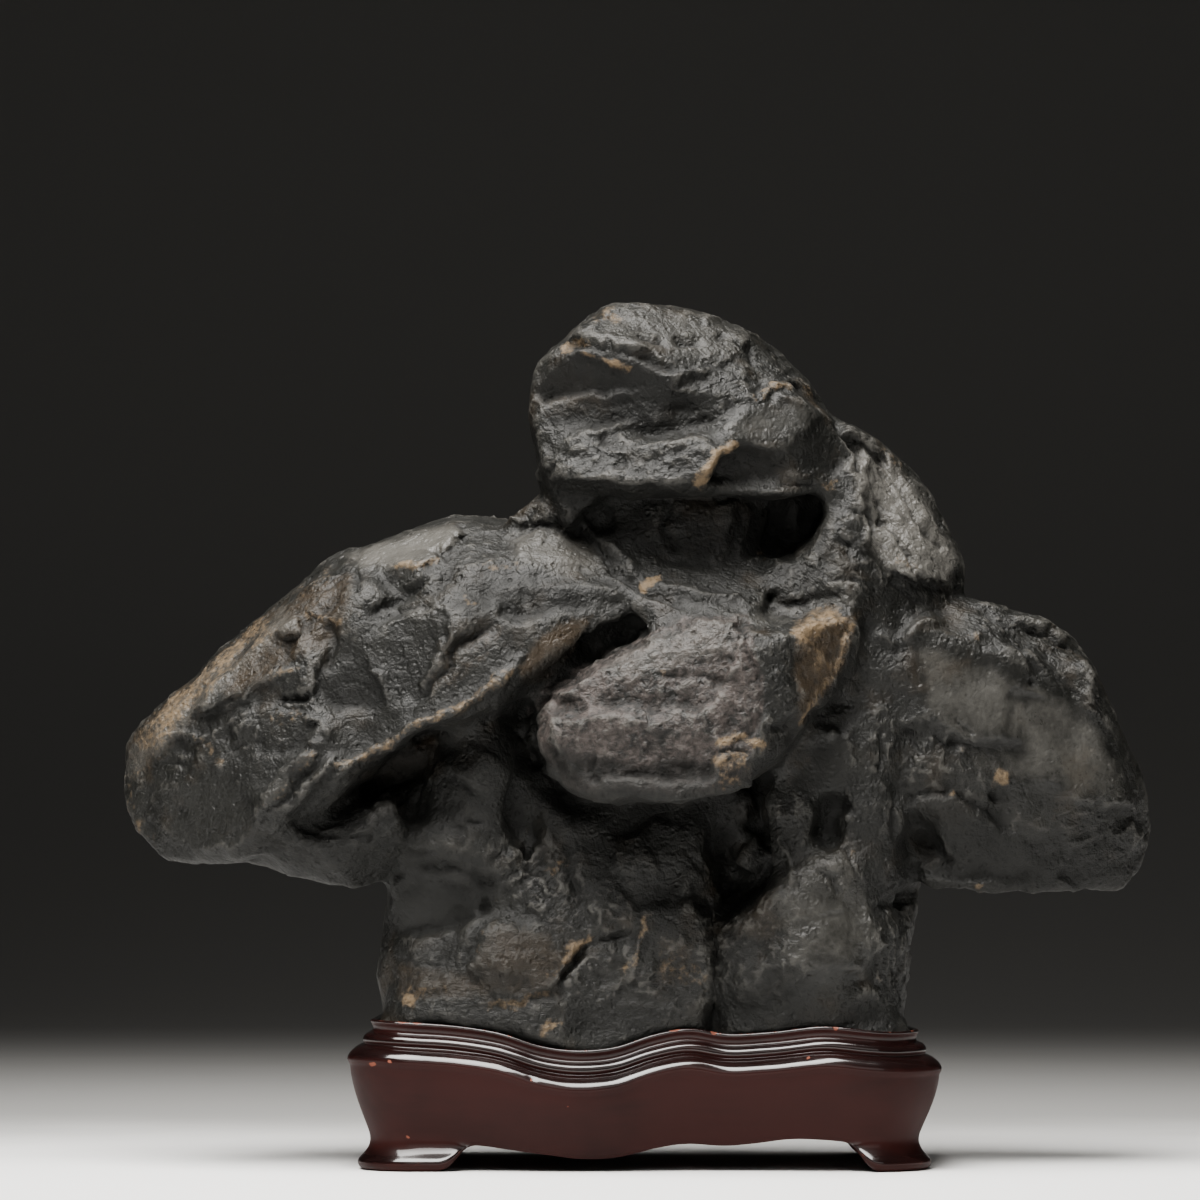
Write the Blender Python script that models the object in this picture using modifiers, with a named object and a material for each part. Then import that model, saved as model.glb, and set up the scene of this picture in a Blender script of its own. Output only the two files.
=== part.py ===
"""A scholar's rock on its carved wooden stand.

The stone is one solid. A head overhangs a deep hollow, two arms reach out to the sides, a wedge-shaped
block juts forward between them, and a fissured trunk stands in the recess of the stand. The stand is one
carved piece of wood with a flared lip, a beaded shoulder, a waisted wall and four turned-out feet.

Sizes are in millimetres: +X to the right, the front faces -Y, +Z up. Places are listed from the floor under
the middle of the stand, and MIDDLE_BACK then sets the origin under the middle of the whole object. MM turns
a size into metres.
"""

import math

import bmesh
import bpy
import numpy as np
from mathutils import Vector

MM = 0.001

# The stone's fabric
FUSE_VOXEL = 2.0
SHAPE_VOXEL = 1.8
SOFTEN_FACTOR = 0.5
SOFTEN_PASSES = 2
STONE_TRIANGLES_KEPT = 0.058
STONE_COLOUR = (0.03, 0.031, 0.028)
STONE_ROUGHNESS = 0.55
# The surface's unevenness, coarse to fine: name, pattern, size, height
LUMPS = (
    ("broad_lumps", "CLOUDS", 34.0, 3.0),
    ("small_lumps", "VORONOI", 13.0, 2.2),
    ("knobs", "VORONOI", 6.0, 1.0),
)
# The lines are cut fully where a face looks straight out. They fade on faces that turn away, and stop past
# the middle.
CARVE_FACING = 2.0
CARVE_EDGE_ON = 0.3
CARVE_PAST_MIDDLE = 5.0

# How much higher a point of the stone lies for each millimetre that it is further back
LEAN = 0.148

# How far back everything is set: the stone juts further forward of the stand than it reaches behind it
MIDDLE_BACK = 4.27

# The stand
STAND_MIDDLE = 1.2
LIP_HALF_LENGTH = 73.4
LIP_HALF_DEPTH = 41.0
CORNER_RADIUS = 13.0
LONG_SIDE_SPANS = 18
SHORT_SIDE_SPANS = 5
CORNER_SPANS = 4
WAVE_IN_PLAN = 1.3
WAVE_LENGTH = 70.0
WAVE_START = 20.0
LIP_WIDTH = 2.6
INNER_EDGE_DROP = 0.6
SEAT_HEIGHT = 20.0
SEAT_GAP = 0.4
RECESS_SPACE_TOP = 60.0
UNDERSIDE_HEIGHT = 9.0
UNDERSIDE_INSET = 11.0
APRON_ROUNDING = 1.6
APRON_ROUNDING_STEP = 0.8
FOOT_LENGTH = 21.0
FOOT_BLEND = 6.0
COLLAR_WIDTH = 25.0
COLLAR_OVERLAP = 2.0
COLLAR_BOTTOM = 1.0
WELD_DISTANCE = 0.05
WOOD_COLOUR = (0.028, 0.008, 0.007)
WOOD_ROUGHNESS = 0.3

# Corners of the convex blocks that the stone is fused from
BLOCKS = {
    "trunk_core": [
        (-58, -22, 24), (-58, 28, 24), (62, -26, 24), (62, 30, 24), (-62, -20, 70), (-60, 28, 80),
        (70, -22, 75), (70, 30, 80), (-60, -24, 112), (-60, 26, 120), (-40, -24, 130), (-40, 26, 145),
        (64, -20, 150), (60, 26, 150), (72, -20, 100), (72, 24, 100),
    ],
    "foot": [
        (-71, -30, 21), (-71, 30, 11), (-60, -40, 22), (-60, 40, 10), (62, -40, 22), (62, 40, 10),
        (73.5, -30, 21), (73.5, 30, 11), (-71, -30, 38), (-71, 30, 30), (-60, -40, 38), (-60, 40, 30),
        (62, -40, 38), (62, 40, 30), (73.5, -30, 37), (73.5, 30, 31), (62, -32, 50), (-62, -30, 50),
        (-52, 30, 48), (54, 30, 48),
    ],
    "low_left_block": [
        (-69, -8, 44), (-69, -14, 56), (-64, -30, 43), (-60, -38, 43), (-48, -40, 42), (-26, -42, 36),
        (-21, -42, 36), (-16, -40, 58), (-28, -38, 69), (-42, -38, 68), (-58, -30, 72), (-67, -12, 75),
        (-40, 0, 40), (-66, 10, 60),
    ],
    "mid_left_bulge": [
        (-64, -12, 99), (-62, -28, 84), (-56, -34, 89), (-48, -38, 87), (-36, -36, 81), (-30, -33, 72),
        (-33, -34, 97), (-42, -36, 101), (-50, -32, 103), (-66, -14, 83), (-62, -26, 68), (-40, -32, 64),
        (-40, 0, 70), (-66, 10, 85), (-67, -10, 70),
    ],
    "upper_left_bulge": [
        (-57, -28, 98), (-53, -32, 109), (-46, -34, 119), (-37, -34, 121), (-34, -35, 109), (-36, -35, 95),
        (-44, -36, 94), (-54, -22, 122), (-30, -22, 128), (-44, -5, 122), (-44, -5, 98),
    ],
    "middle_trunk": [
        (-25, -36, 24), (17, -38, 24), (-22, -38, 57), (17, -38, 59), (13, -37, 71), (-5, -37, 73),
        (-32, -34, 75), (-27, -30, 94), (15, -30, 92), (20, -26, 82), (-20, -25, 104), (24, -24, 104),
        (-25, -5, 24), (17, -5, 24), (0, -5, 104),
    ],
    "right_lobe": [
        (20, -34, 30), (20.5, -38, 57), (23, -38, 71), (32, -40, 77), (40, -43, 83), (46, -43, 72),
        (50, -42, 87), (60, -36, 86), (68, -30, 57), (68, -24, 36), (50, -41, 48), (38, -43, 55),
        (30, -38, 36), (60, -34, 36), (72, -14, 60), (74, -12, 74), (72, -12, 88), (40, -38, 32),
        (30, 0, 24), (70, 0, 40), (70, 0, 86), (30, 0, 78),
    ],
    "right_column": [
        (34, -32, 73), (34, -34, 105), (42, -32, 121), (56, -31, 130), (66, -31, 134), (70, -30, 112),
        (68, -30, 94), (64, -34, 81), (52, -38, 79), (62, -28, 146), (40, -24, 128), (74, -22, 76),
        (50, 5, 80), (60, 5, 140), (76, -24, 100),
    ],
    "jutting_block": [
        (-28, -44, 126), (-12, -51, 136), (4, -55, 143.5), (20, -56, 147), (36, -55, 146.5), (34, -58, 122),
        (25, -61, 106), (8, -63, 104), (-8, -61, 103.5), (-18, -55, 104), (-25, -47, 114), (57, -39, 148),
        (58, -37, 144), (52, -39, 131), (45, -43, 123), (38, -47, 118), (-25, -10, 128), (20, -10, 150),
        (56, -10, 150), (50, -10, 120), (20, -10, 104), (-18, -15, 104),
    ],
    "left_arm": [
        (-139, 2, 112), (-139.5, 0, 100), (-135, -8, 89.5), (-127, -14, 82), (-106, -20, 82),
        (-102, -32, 87), (-100, -37, 95), (-88, -42, 108), (-78, -44, 109), (-128, -14, 117),
        (-118, -20, 124), (-104, -26, 135), (-92, -30, 147.5), (-82, -40, 132.5), (-131, -2, 121),
        (-108, 0, 142), (-94, 0, 155), (-80, 0, 165), (-60, -43, 119), (-60, -38, 147), (-72, -32, 160),
        (-132, 20, 108), (-120, 26, 92), (-110, 28, 125), (-85, 32, 150), (-60, 34, 160), (-60, 34, 100),
        (-90, 30, 88),
    ],
    "left_shoulder": [
        (-80, -8, 164), (-62, -10, 171), (-46, -12, 173), (-30, -14, 171), (-18, -18, 171), (-64, -28, 166),
        (-48, -34, 165), (-30, -34, 165), (-14, -32, 165), (-60, -44, 126), (-60, -46, 119),
        (-50, -47, 121), (-40, -47, 127), (-30, -46, 134), (-50, -46, 146), (-36, -46, 148),
        (-20, -44, 148), (-6, -38, 152.5), (6, -36, 148), (12, -36, 147), (-60, 30, 160), (-20, 26, 165),
        (0, 10, 150), (-40, 30, 120), (-45, 22, 172),
    ],
    "left_ledge": [
        (-106, -14, 83), (-100, -30, 89), (-88, -35, 91), (-76, -37, 90), (-68, -40, 93), (-62, -38, 97),
        (-60, -34, 89), (-62, -24, 80), (-74, -24, 77), (-86, -24, 78), (-100, -16, 82), (-64, -32, 102),
        (-90, -30, 100), (-100, 15, 86), (-62, 15, 80), (-62, 15, 106), (-95, 15, 100), (-84, 0, 75.5),
    ],
    "arm_root": [
        (-90, -18, 95), (-60, -20, 84), (-90, -20, 120), (-50, -24, 125), (-90, 24, 95), (-60, 24, 84),
        (-90, 24, 120), (-50, 24, 125), (-40, -24, 90),
    ],
    "arm_finger_left": [
        (-99, -39, 96), (-96, -41, 102), (-88, -44, 112), (-83, -44, 115), (-81, -44, 111), (-88, -43, 103),
        (-95, -40, 95), (-97, -25, 96), (-84, -30, 112), (-86, -25, 100),
    ],
    "arm_finger_right": [
        (-88, -41, 99), (-85, -43, 106), (-79, -45, 113), (-72, -45, 112), (-76, -43, 105), (-83, -40, 98),
        (-84, -28, 100), (-75, -30, 112),
    ],
    "head": [
        (-30, -20, 211), (-28, -27, 197.5), (-26, -29, 184.5), (-20, -32, 182), (-5, -34, 182),
        (10, -36, 181), (16, -37, 180), (30, -35, 182), (40, -34, 180), (50, -28, 181), (-18, -28, 214),
        (0, -32, 213), (11, -33, 210), (24, -36, 193), (37, -33, 193), (-8, -18, 228), (8, -16, 229),
        (20, -14, 226), (32, -8, 221), (44, -4, 209.5), (54, 0, 198), (52, -22, 198), (30, -27, 208),
        (-26, 18, 190), (-24, 10, 215), (-6, 8, 230), (15, 12, 229), (36, 20, 215), (50, 24, 195),
        (20, 34, 200), (0, 32, 205), (-15, 28, 185), (40, 30, 185),
    ],
    "head_cap": [
        (-30, -20, 214), (-21, -31, 219), (-12, -34, 221), (-5, -35, 219), (5, -36, 214), (10, -36, 211),
        (20, -33, 210), (30, -29, 209), (42, -20, 209), (-14, -22, 227.5), (-8, -18, 231), (5, -18, 231),
        (14, -16, 230), (28, -12, 224), (38, -6, 219), (48, -2, 208), (-21, 0, 219), (-8, 16, 230),
        (20, 18, 228), (40, 16, 215), (50, 10, 204), (0, 30, 215), (30, 30, 212), (-22, -15, 210),
        (10, -20, 205), (40, -12, 200),
    ],
    "head_band": [
        (-26, -30, 190), (-25, -33, 187), (-20, -37, 185), (-10, -39, 186), (-4, -41, 183.5),
        (3, -42, 182.5), (12, -43, 182), (17, -43, 182.5), (23, -41, 194), (15, -41, 197.5), (0, -38, 196),
        (-14, -35, 195), (-26, -29, 196), (-20, -10, 190), (18, -10, 190),
    ],
    "head_right_facet": [
        (22, -38, 199), (25, -41, 194), (33, -39, 192.5), (40, -35, 194), (46, -27, 205), (40, -27, 211),
        (27, -33, 204), (50, -25, 192), (30, -10, 200), (45, -5, 200),
    ],
    "head_lip_right": [
        (16, -39, 183), (25, -39, 181.5), (32, -38, 182), (39, -35, 179), (46, -31, 179.5), (52, -27, 184),
        (42, -31, 188), (25, -35, 188), (20, -15, 184), (45, -12, 184),
    ],
    "neck": [
        (-22, -6, 150), (-24, -4, 190), (55, -2, 190), (62, -10, 150), (-20, 28, 150), (-18, 28, 192),
        (58, 30, 190), (60, 30, 150),
    ],
    "neck_rubble": [
        (-38, -14, 170), (-36, -18, 174), (-31, -18, 175.5), (-26, -22, 179), (-20, -26, 178),
        (-17, -28, 175), (-20, -20, 168), (-22, -8, 183), (-26, 4, 172), (-20, 8, 170),
    ],
    "hollow_floor": [
        (-5, -30, 149), (10, -34, 146), (30, -34, 146), (45, -32, 149), (2, -14, 161), (20, -12, 158),
        (38, -14, 158), (20, 0, 168), (0, 0, 150), (40, 0, 150),
    ],
    "right_cheek": [
        (33, -34, 150), (38, -30, 160), (45, -28, 168), (51, -27, 176), (58, -28, 170), (60, -32, 152),
        (45, -10, 150), (50, -8, 172), (60, -8, 160),
    ],
    "right_shoulder": [
        (52, -20, 198), (57, -16, 199), (69, -6, 192.5), (77, -4, 183), (85, -4, 169), (89.5, -4, 159),
        (87, -6, 150), (52, -28, 162.5), (45, -34, 153), (58, -34, 151), (70, -26, 146), (62, -26, 173),
        (60, -24, 186), (54, 20, 198), (70, 24, 185), (84, 20, 165), (84, 20, 148), (50, 20, 150),
        (52, -26, 182),
    ],
    "right_arm": [
        (64, -28, 143.5), (75, -30, 144.5), (88, -28, 141.5), (100, -26, 138), (118, -20, 136),
        (124, -10, 130), (126, -16, 118.5), (132, -10, 107), (137.5, -4, 95.5), (139.5, 2, 88),
        (136, -2, 80), (131, -6, 72.5), (118, -14, 73), (100, -20, 74), (86, -24, 76), (76, -26, 77),
        (68, -30, 97.5), (66, -30, 122.5), (110, -26, 108), (120, -22, 98), (88, -12, 151.5),
        (100, -8, 151), (112, -6, 145.5), (118, -2, 141), (70, 26, 140), (90, 30, 145), (112, 26, 135),
        (124, 24, 120), (128, 22, 100), (124, 20, 80), (100, 24, 78), (75, 24, 80),
    ],
    "right_joint": [
        (52, -26, 150), (78, -27, 148), (56, -28, 128), (84, -28, 128), (56, 20, 128), (84, 20, 128),
        (60, 20, 155), (84, 20, 150), (62, -26, 80), (84, -24, 80), (62, 20, 80), (84, 20, 80),
    ],
    "back_buttress": [
        (-45, 20, 40), (-30, 34, 44), (20, 34, 44), (45, 30, 40), (-40, 40, 90), (0, 56, 110),
        (25, 52, 120), (40, 36, 100), (-20, 50, 140), (10, 44, 160), (-40, 24, 150), (40, 24, 160),
        (0, 20, 180),
    ],
    "back_left": [
        (-60, 20, 96), (-80, 40, 118), (-60, 48, 138), (-40, 44, 148), (-30, 30, 165), (-90, 24, 130),
        (-50, 10, 100),
    ],
    "back_right": [
        (60, 20, 92), (75, 42, 112), (92, 38, 128), (60, 44, 138), (50, 30, 160), (80, 20, 140),
        (50, 10, 100),
    ],
}

# Furrows and ridges of the front: line of (x, z), half-width, how far it stands out (negative: cut in)
FRONT_LINES = (
    ("fissure", [(18, 88), (16, 78), (17, 72), (19, 66), (20, 55), (19, 45), (20, 34)], 4.0, -8.0),
    ("diagonal_crevice", [(14, 149), (3, 147), (-8, 143), (-18, 137), (-30, 128)], 5.0, -8.0),
    ("left_crevice", [(-33, 123), (-30, 114), (-25, 107), (-18, 100)], 6.0, -7.0),
    ("upper_hollow", [(21, 90), (23, 82), (22, 76)], 7.0, -7.0),
    ("second_hollow", [(32, 103), (32, 92)], 6.0, -7.0),
    ("rim_of_hollow", [(25, 91), (26, 98), (28, 105)], 2.5, 3.0),
    ("hole_1", [(50, 99), (49, 93)], 6.0, -9.0),
    ("hole_2", [(74, 94), (73, 84)], 6.5, -8.0),
    ("hole_3", [(69, 75), (70, 79)], 4.0, -6.0),
    ("arm_boundary", [(-82, 148), (-82, 136), (-81, 126)], 4.0, -3.5),
    ("arm_valley", [(-76, 136), (-74, 124), (-73, 116)], 9.0, -3.5),
    ("arm_pit", [(-94, 127), (-87, 127)], 4.0, -3.0),
    ("arm_undercut", [(-86, 98), (-74, 103), (-62, 108), (-54, 116)], 7.0, -8.0),
    ("arm_vein", [(-79, 110), (-65, 115), (-55, 122), (-44, 128), (-33, 136)], 3.0, 2.5),
    ("shoulder_crease", [(-50, 139), (-44, 145), (-38, 150)], 4.0, -3.0),
    ("shoulder_ledge", [(-66, 150), (-55, 153), (-50, 160)], 3.5, -2.5),
    ("brow_hollow", [(10, 204), (17, 204)], 5.0, -4.0),
    ("brow_ledge", [(-6, 200), (4, 199), (16, 200)], 3.0, -3.0),
    ("vein_facet", [(27, 188), (36, 188)], 5.5, -3.5),
    ("shoulder_pit", [(64, 175), (63, 171)], 4.0, -3.0),
    ("arm_right_pit", [(106, 133)], 5.0, -2.5),
    ("arm_right_hole", [(95, 102), (95, 98)], 5.0, -4.0),
    ("arm_right_slab", [(101, 144), (110, 141), (118, 138)], 3.0, -2.5),
    ("arm_right_ridge", [(120, 139), (121, 130), (119, 122), (124, 119)], 3.0, 2.0),
    ("right_folds", [(70, 118), (68, 106), (72, 100)], 4.0, -3.0),
    ("trunk_crease", [(-20, 50), (-18, 60), (-12, 63), (-3, 69)], 3.5, -3.5),
    ("trunk_curve", [(-52, 62), (-46, 72), (-34, 75)], 3.5, -3.0),
    ("trunk_waist", [(-64, 80), (-50, 77), (-40, 78)], 3.5, -2.5),
)

# The same for the back, as (x, z) with x still to the object's right
BACK_LINES = (
    ("back_cleft", [(8, 168), (4, 150), (8, 128), (2, 104)], 7.0, -6.0),
    ("back_left_cleft", [(-34, 150), (-30, 130), (-38, 108), (-34, 84)], 8.0, -6.0),
    ("back_right_cleft", [(48, 158), (42, 138), (46, 112), (40, 84)], 8.0, -6.0),
    ("back_shelf", [(-30, 112), (-10, 118), (12, 112), (34, 118)], 5.0, -4.0),
    ("back_low_shelf", [(-44, 72), (-18, 66), (8, 74), (36, 66)], 6.0, -4.0),
    ("back_pit", [(18, 92), (22, 88)], 7.0, -5.0),
    ("nape_ledge", [(-16, 190), (6, 186), (30, 190)], 6.0, -5.0),
    ("crown_furrow", [(-4, 222), (8, 212), (24, 210)], 5.0, -3.0),
    ("arm_furrow", [(-116, 108), (-98, 120), (-84, 126), (-68, 142)], 6.0, -4.0),
    ("arm_shelf", [(-104, 98), (-86, 104), (-70, 100)], 6.0, -4.0),
    ("right_furrow", [(112, 124), (98, 112), (84, 116), (72, 104)], 6.0, -4.0),
    ("right_pit", [(104, 94), (98, 90)], 7.0, -4.0),
    ("shoulder_furrow", [(76, 176), (66, 164), (70, 150)], 5.0, -3.0),
)

# Height of the stand's rim along its front and its back, and of the apron between the feet: (x, height)
RIM_FRONT = (
    (-76, 39.6), (-64, 39.8), (-40, 36.6), (-17, 31.2), (10, 37.2), (24, 35.3), (49, 37.4), (64, 36.2),
    (78, 36.7),
)
RIM_BACK = ((-76, 39.4), (-52, 36.8), (-26, 38.2), (0, 33.5), (26, 37.2), (52, 35.0), (78, 36.5))
APRON = ((-76, 6.2), (-42, 6.0), (-20, 3.9), (20, 6.4), (42, 7.2), (78, 6.6))
# Profile of the moulding under the rim: (how far it stands out from the lip, how far below the rim)
MOULDING = (
    (-1.2, 0.0), (-0.2, 0.2), (0.0, 1.2), (-0.4, 1.8), (-1.9, 2.4), (-1.7, 3.1), (0.5, 3.4), (1.2, 4.2),
    (0.7, 5.2), (1.4, 5.8), (4.0, 6.9), (5.8, 8.6), (6.5, 11.0),
)
# The wall below it, with heights above the floor
WALL = ((5.9, 21.5), (4.2, 17.5), (2.2, 13.0), (0.2, 9.6))
# The foot: (how far out its own profile stands, its height, how far out the apron stands there)
FOOT = (
    (-0.9, 7.6, -0.6), (0.2, 5.4, -1.2), (1.9, 3.6, -1.4), (2.7, 2.0, -1.7), (1.9, 0.0, -2.2),
    (-9.0, 0.0, -5.0),
)


def smooth_between(low, high, value):
    """0 at low, 1 at high, with a soft start and a soft end."""
    share = min(max((value - low) / (high - low), 0.0), 1.0)
    return share * share * (3.0 - 2.0 * share)


def wave_height(points, x):
    """The height at x of the soft wave through these points."""
    for (x_a, z_a), (x_b, z_b) in zip(points, points[1:]):
        if x <= x_b:
            return z_a + (z_b - z_a) * smooth_between(x_a, x_b, x)
    return points[-1][1]


def add_object(name, mesh, group):
    made = bpy.data.objects.new(name, mesh)
    made.location.y = MIDDLE_BACK * MM
    group.objects.link(made)
    return made


def add_group(name):
    group = bpy.data.collections.new(name)
    bpy.context.scene.collection.children.link(group)
    return group


def add_convex_block(bm, corners):
    """The convex block that wraps these corners, added to bm."""
    block = bmesh.new()
    for corner in corners:
        x, y, z = corner
        block.verts.new(Vector((x, y, z + LEAN * y)) * MM)
    bmesh.ops.convex_hull(block, input=block.verts)
    bmesh.ops.delete(block, geom=[v for v in block.verts if not v.link_faces], context="VERTS")
    bmesh.ops.recalc_face_normals(block, faces=block.faces)
    mesh = bpy.data.meshes.new("block")
    block.to_mesh(mesh)
    block.free()
    bm.from_mesh(mesh)
    bpy.data.meshes.remove(mesh)


def evaluated_mesh(made):
    """A mesh with the object's modifiers worked in."""
    graph = bpy.context.evaluated_depsgraph_get()
    return bpy.data.meshes.new_from_object(made.evaluated_get(graph))


def distance_to_line(points, line):
    """How far each (x, z) point lies from the line through these points."""
    nearest = np.full(len(points), 1e9)
    ends = line[1:] if len(line) > 1 else line
    for start, end in zip(line, ends):
        a = np.array(start, float)
        along = np.array(end, float) - a
        length = max(float(along @ along), 1e-9)
        share = np.clip(((points - a) @ along) / length, 0.0, 1.0)
        gap = np.linalg.norm(points - a - share[:, None] * along, axis=1)
        nearest = np.minimum(nearest, gap)
    return nearest


def carve(mesh, lines, side):
    """Cuts the furrows and raises the ridges of these lines on one side: -1 the front, 1 the back."""
    count = len(mesh.vertices)
    place = np.empty(count * 3)
    normal = np.empty(count * 3)
    mesh.vertices.foreach_get("co", place)
    mesh.vertices.foreach_get("normal", normal)
    place = place.reshape(-1, 3) / MM
    normal = normal.reshape(-1, 3)
    facing = np.clip(side * normal[:, 1] * CARVE_FACING + CARVE_EDGE_ON, 0.0, 1.0)
    facing *= side * place[:, 1] > -CARVE_PAST_MIDDLE
    seen = np.column_stack([place[:, 0], place[:, 2] - LEAN * place[:, 1]])
    moved = np.zeros(count)
    for _, line, reach, rise in lines:
        gap = np.clip(distance_to_line(seen, line) / reach, 0.0, 1.0)
        moved += rise * (1.0 - gap * gap) ** 2
    place[:, 1] += side * moved * facing
    mesh.vertices.foreach_set("co", (place * MM).ravel())
    mesh.update()


def plan_of_lip():
    """The stations round the lip, from the right end of the front: (x, y, the way out in x and in y)."""
    half_x = LIP_HALF_LENGTH - CORNER_RADIUS
    half_y = LIP_HALF_DEPTH - CORNER_RADIUS
    sides = (
        (half_x, -half_y, -1.0, 0.0, LONG_SIDE_SPANS, 270.0),
        (-half_x, -half_y, 0.0, 1.0, SHORT_SIDE_SPANS, 180.0),
        (-half_x, half_y, 1.0, 0.0, LONG_SIDE_SPANS, 90.0),
        (half_x, half_y, 0.0, -1.0, SHORT_SIDE_SPANS, 0.0),
    )
    stations = []
    for from_x, from_y, step_x, step_y, spans, facing in sides:
        length = 2.0 * (half_x if step_x else half_y)
        out_x = math.cos(math.radians(facing))
        out_y = math.sin(math.radians(facing))
        for span in range(spans):
            run = length * span / spans
            x = from_x + step_x * run + out_x * CORNER_RADIUS
            y = from_y + step_y * run + out_y * CORNER_RADIUS
            stations.append((x, y, out_x, out_y))
        for span in range(CORNER_SPANS):
            turn = math.radians(facing - 90.0 * span / CORNER_SPANS)
            x = from_x + step_x * length + math.cos(turn) * CORNER_RADIUS
            y = from_y + step_y * length + math.sin(turn) * CORNER_RADIUS
            stations.append((x, y, math.cos(turn), math.sin(turn)))
    return stations


def foot_share(x, y):
    """1 over a foot, 0 between the feet."""
    end_x = LIP_HALF_LENGTH - FOOT_LENGTH
    end_y = LIP_HALF_DEPTH - FOOT_LENGTH
    along = smooth_between(end_x - FOOT_BLEND, end_x, abs(x))
    deep = smooth_between(end_y - FOOT_BLEND, end_y, abs(y))
    return along * deep


def point_of_ring(station, out, height):
    """The point this far out from the lip at a station. The front is wavy in plan too."""
    x, y, out_x, out_y = station
    front = max(0.0, -out_y)
    wave = WAVE_IN_PLAN * front * math.cos((x + WAVE_START) / WAVE_LENGTH * 2.0 * math.pi)
    return Vector((x + STAND_MIDDLE + out_x * out, y + out_y * out - wave, height)) * MM


def stand_ring(out, height_of):
    """One level of the stand, its points out from the lip at the heights that height_of gives."""
    return [point_of_ring(station, out, height_of(*station[:2])) for station in plan_of_lip()]


def foot_ring(out, height, apron_out, apron_rise):
    """One level of the feet and of the apron between them."""
    ring = []
    for station in plan_of_lip():
        x, y = station[:2]
        foot = foot_share(x, y)
        apron = wave_height(APRON, x) + apron_rise
        reach = apron_out + (out - apron_out) * foot
        ring.append(point_of_ring(station, reach, apron + (height - apron) * foot))
    return ring


def rim_height(x, y):
    """The rim's height: the front's wave in front, the back's behind."""
    back = smooth_between(-LIP_HALF_DEPTH, LIP_HALF_DEPTH, y)
    return wave_height(RIM_FRONT, x) * (1.0 - back) + wave_height(RIM_BACK, x) * back


def level(height):
    return lambda x, y: height


def below_rim(drop):
    return lambda x, y: rim_height(x, y) - drop


def loft(name, rings, group):
    """The closed solid through these rings, which run from its top to its bottom."""
    bm = bmesh.new()
    stations = len(rings[0])
    rows = [[bm.verts.new(point) for point in ring] for ring in rings]
    for upper, lower in zip(rows, rows[1:]):
        for here in range(stations):
            after = (here + 1) % stations
            bm.faces.new((upper[here], lower[here], lower[after], upper[after]))
    for row in (rows[0], rows[-1]):
        middle = bm.verts.new(sum((v.co for v in row), Vector()) / stations)
        for here in range(stations):
            bm.faces.new((row[here], row[(here + 1) % stations], middle))
    bmesh.ops.recalc_face_normals(bm, faces=bm.faces)
    mesh = bpy.data.meshes.new(name)
    bm.to_mesh(mesh)
    bm.free()
    return add_object(name, mesh, group)


def stand_rings():
    """The rings of the stand, from the floor of its recess over the lip and down to its underside."""
    rings = [stand_ring(-LIP_WIDTH, level(SEAT_HEIGHT)), stand_ring(-LIP_WIDTH, below_rim(INNER_EDGE_DROP))]
    rings += [stand_ring(out, below_rim(drop)) for out, drop in MOULDING]
    rings += [stand_ring(out, level(height)) for out, height in WALL]
    for step, (out, height, apron_out) in enumerate(FOOT):
        rise = max(0.0, APRON_ROUNDING - APRON_ROUNDING_STEP * step)
        rings.append(foot_ring(out, height, apron_out, rise))
    rings.append(stand_ring(-UNDERSIDE_INSET, level(UNDERSIDE_HEIGHT)))
    return rings


def collar_rings():
    """A collar over the stand: what the stone must keep clear of outside the recess."""
    return [
        stand_ring(-LIP_WIDTH - COLLAR_OVERLAP, below_rim(-SEAT_GAP)),
        stand_ring(COLLAR_WIDTH, below_rim(-SEAT_GAP)),
        stand_ring(COLLAR_WIDTH, level(COLLAR_BOTTOM)),
        stand_ring(0.0, level(COLLAR_BOTTOM)),
    ]


def recess_rings():
    """The space inside the lip that the stone may fill, from above the rim down to just over the seat."""
    inner = -LIP_WIDTH - SEAT_GAP
    return [stand_ring(inner, level(RECESS_SPACE_TOP)), stand_ring(inner, level(SEAT_HEIGHT + SEAT_GAP))]


def cut(made, name, cutter):
    step = made.modifiers.new(name, "BOOLEAN")
    step.operation = "DIFFERENCE"
    step.solver = "EXACT"
    step.object = cutter


def hide(made):
    made.hide_render = True
    made.display_type = "WIRE"


def add_finish(made, name, colour, roughness):
    material = bpy.data.materials.new(name)
    material.use_nodes = True
    shader = material.node_tree.nodes["Principled BSDF"]
    shader.inputs["Base Color"].default_value = (*colour, 1.0)
    shader.inputs["Roughness"].default_value = roughness
    made.data.materials.append(material)


def build_stand(group):
    stand = loft("wooden_stand", stand_rings(), group)
    add_finish(stand, "dark_wood", WOOD_COLOUR, WOOD_ROUGHNESS)


def add_voxel_remesh(made, name, size):
    step = made.modifiers.new(name, "REMESH")
    step.mode = "VOXEL"
    step.voxel_size = size * MM


def fused_blocks(helpers):
    """The blocks of the stone fused into one closed skin, with the furrows and ridges cut."""
    bm = bmesh.new()
    for corners in BLOCKS.values():
        add_convex_block(bm, corners)
    mesh = bpy.data.meshes.new("stone_blocks")
    bm.to_mesh(mesh)
    bm.free()
    rough = add_object("stone_blocks", mesh, helpers)
    hide(rough)
    add_voxel_remesh(rough, "fuse", FUSE_VOXEL)
    fused = evaluated_mesh(rough)
    fused.name = "stone"
    carve(fused, FRONT_LINES, -1)
    carve(fused, BACK_LINES, 1)
    return fused


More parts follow.
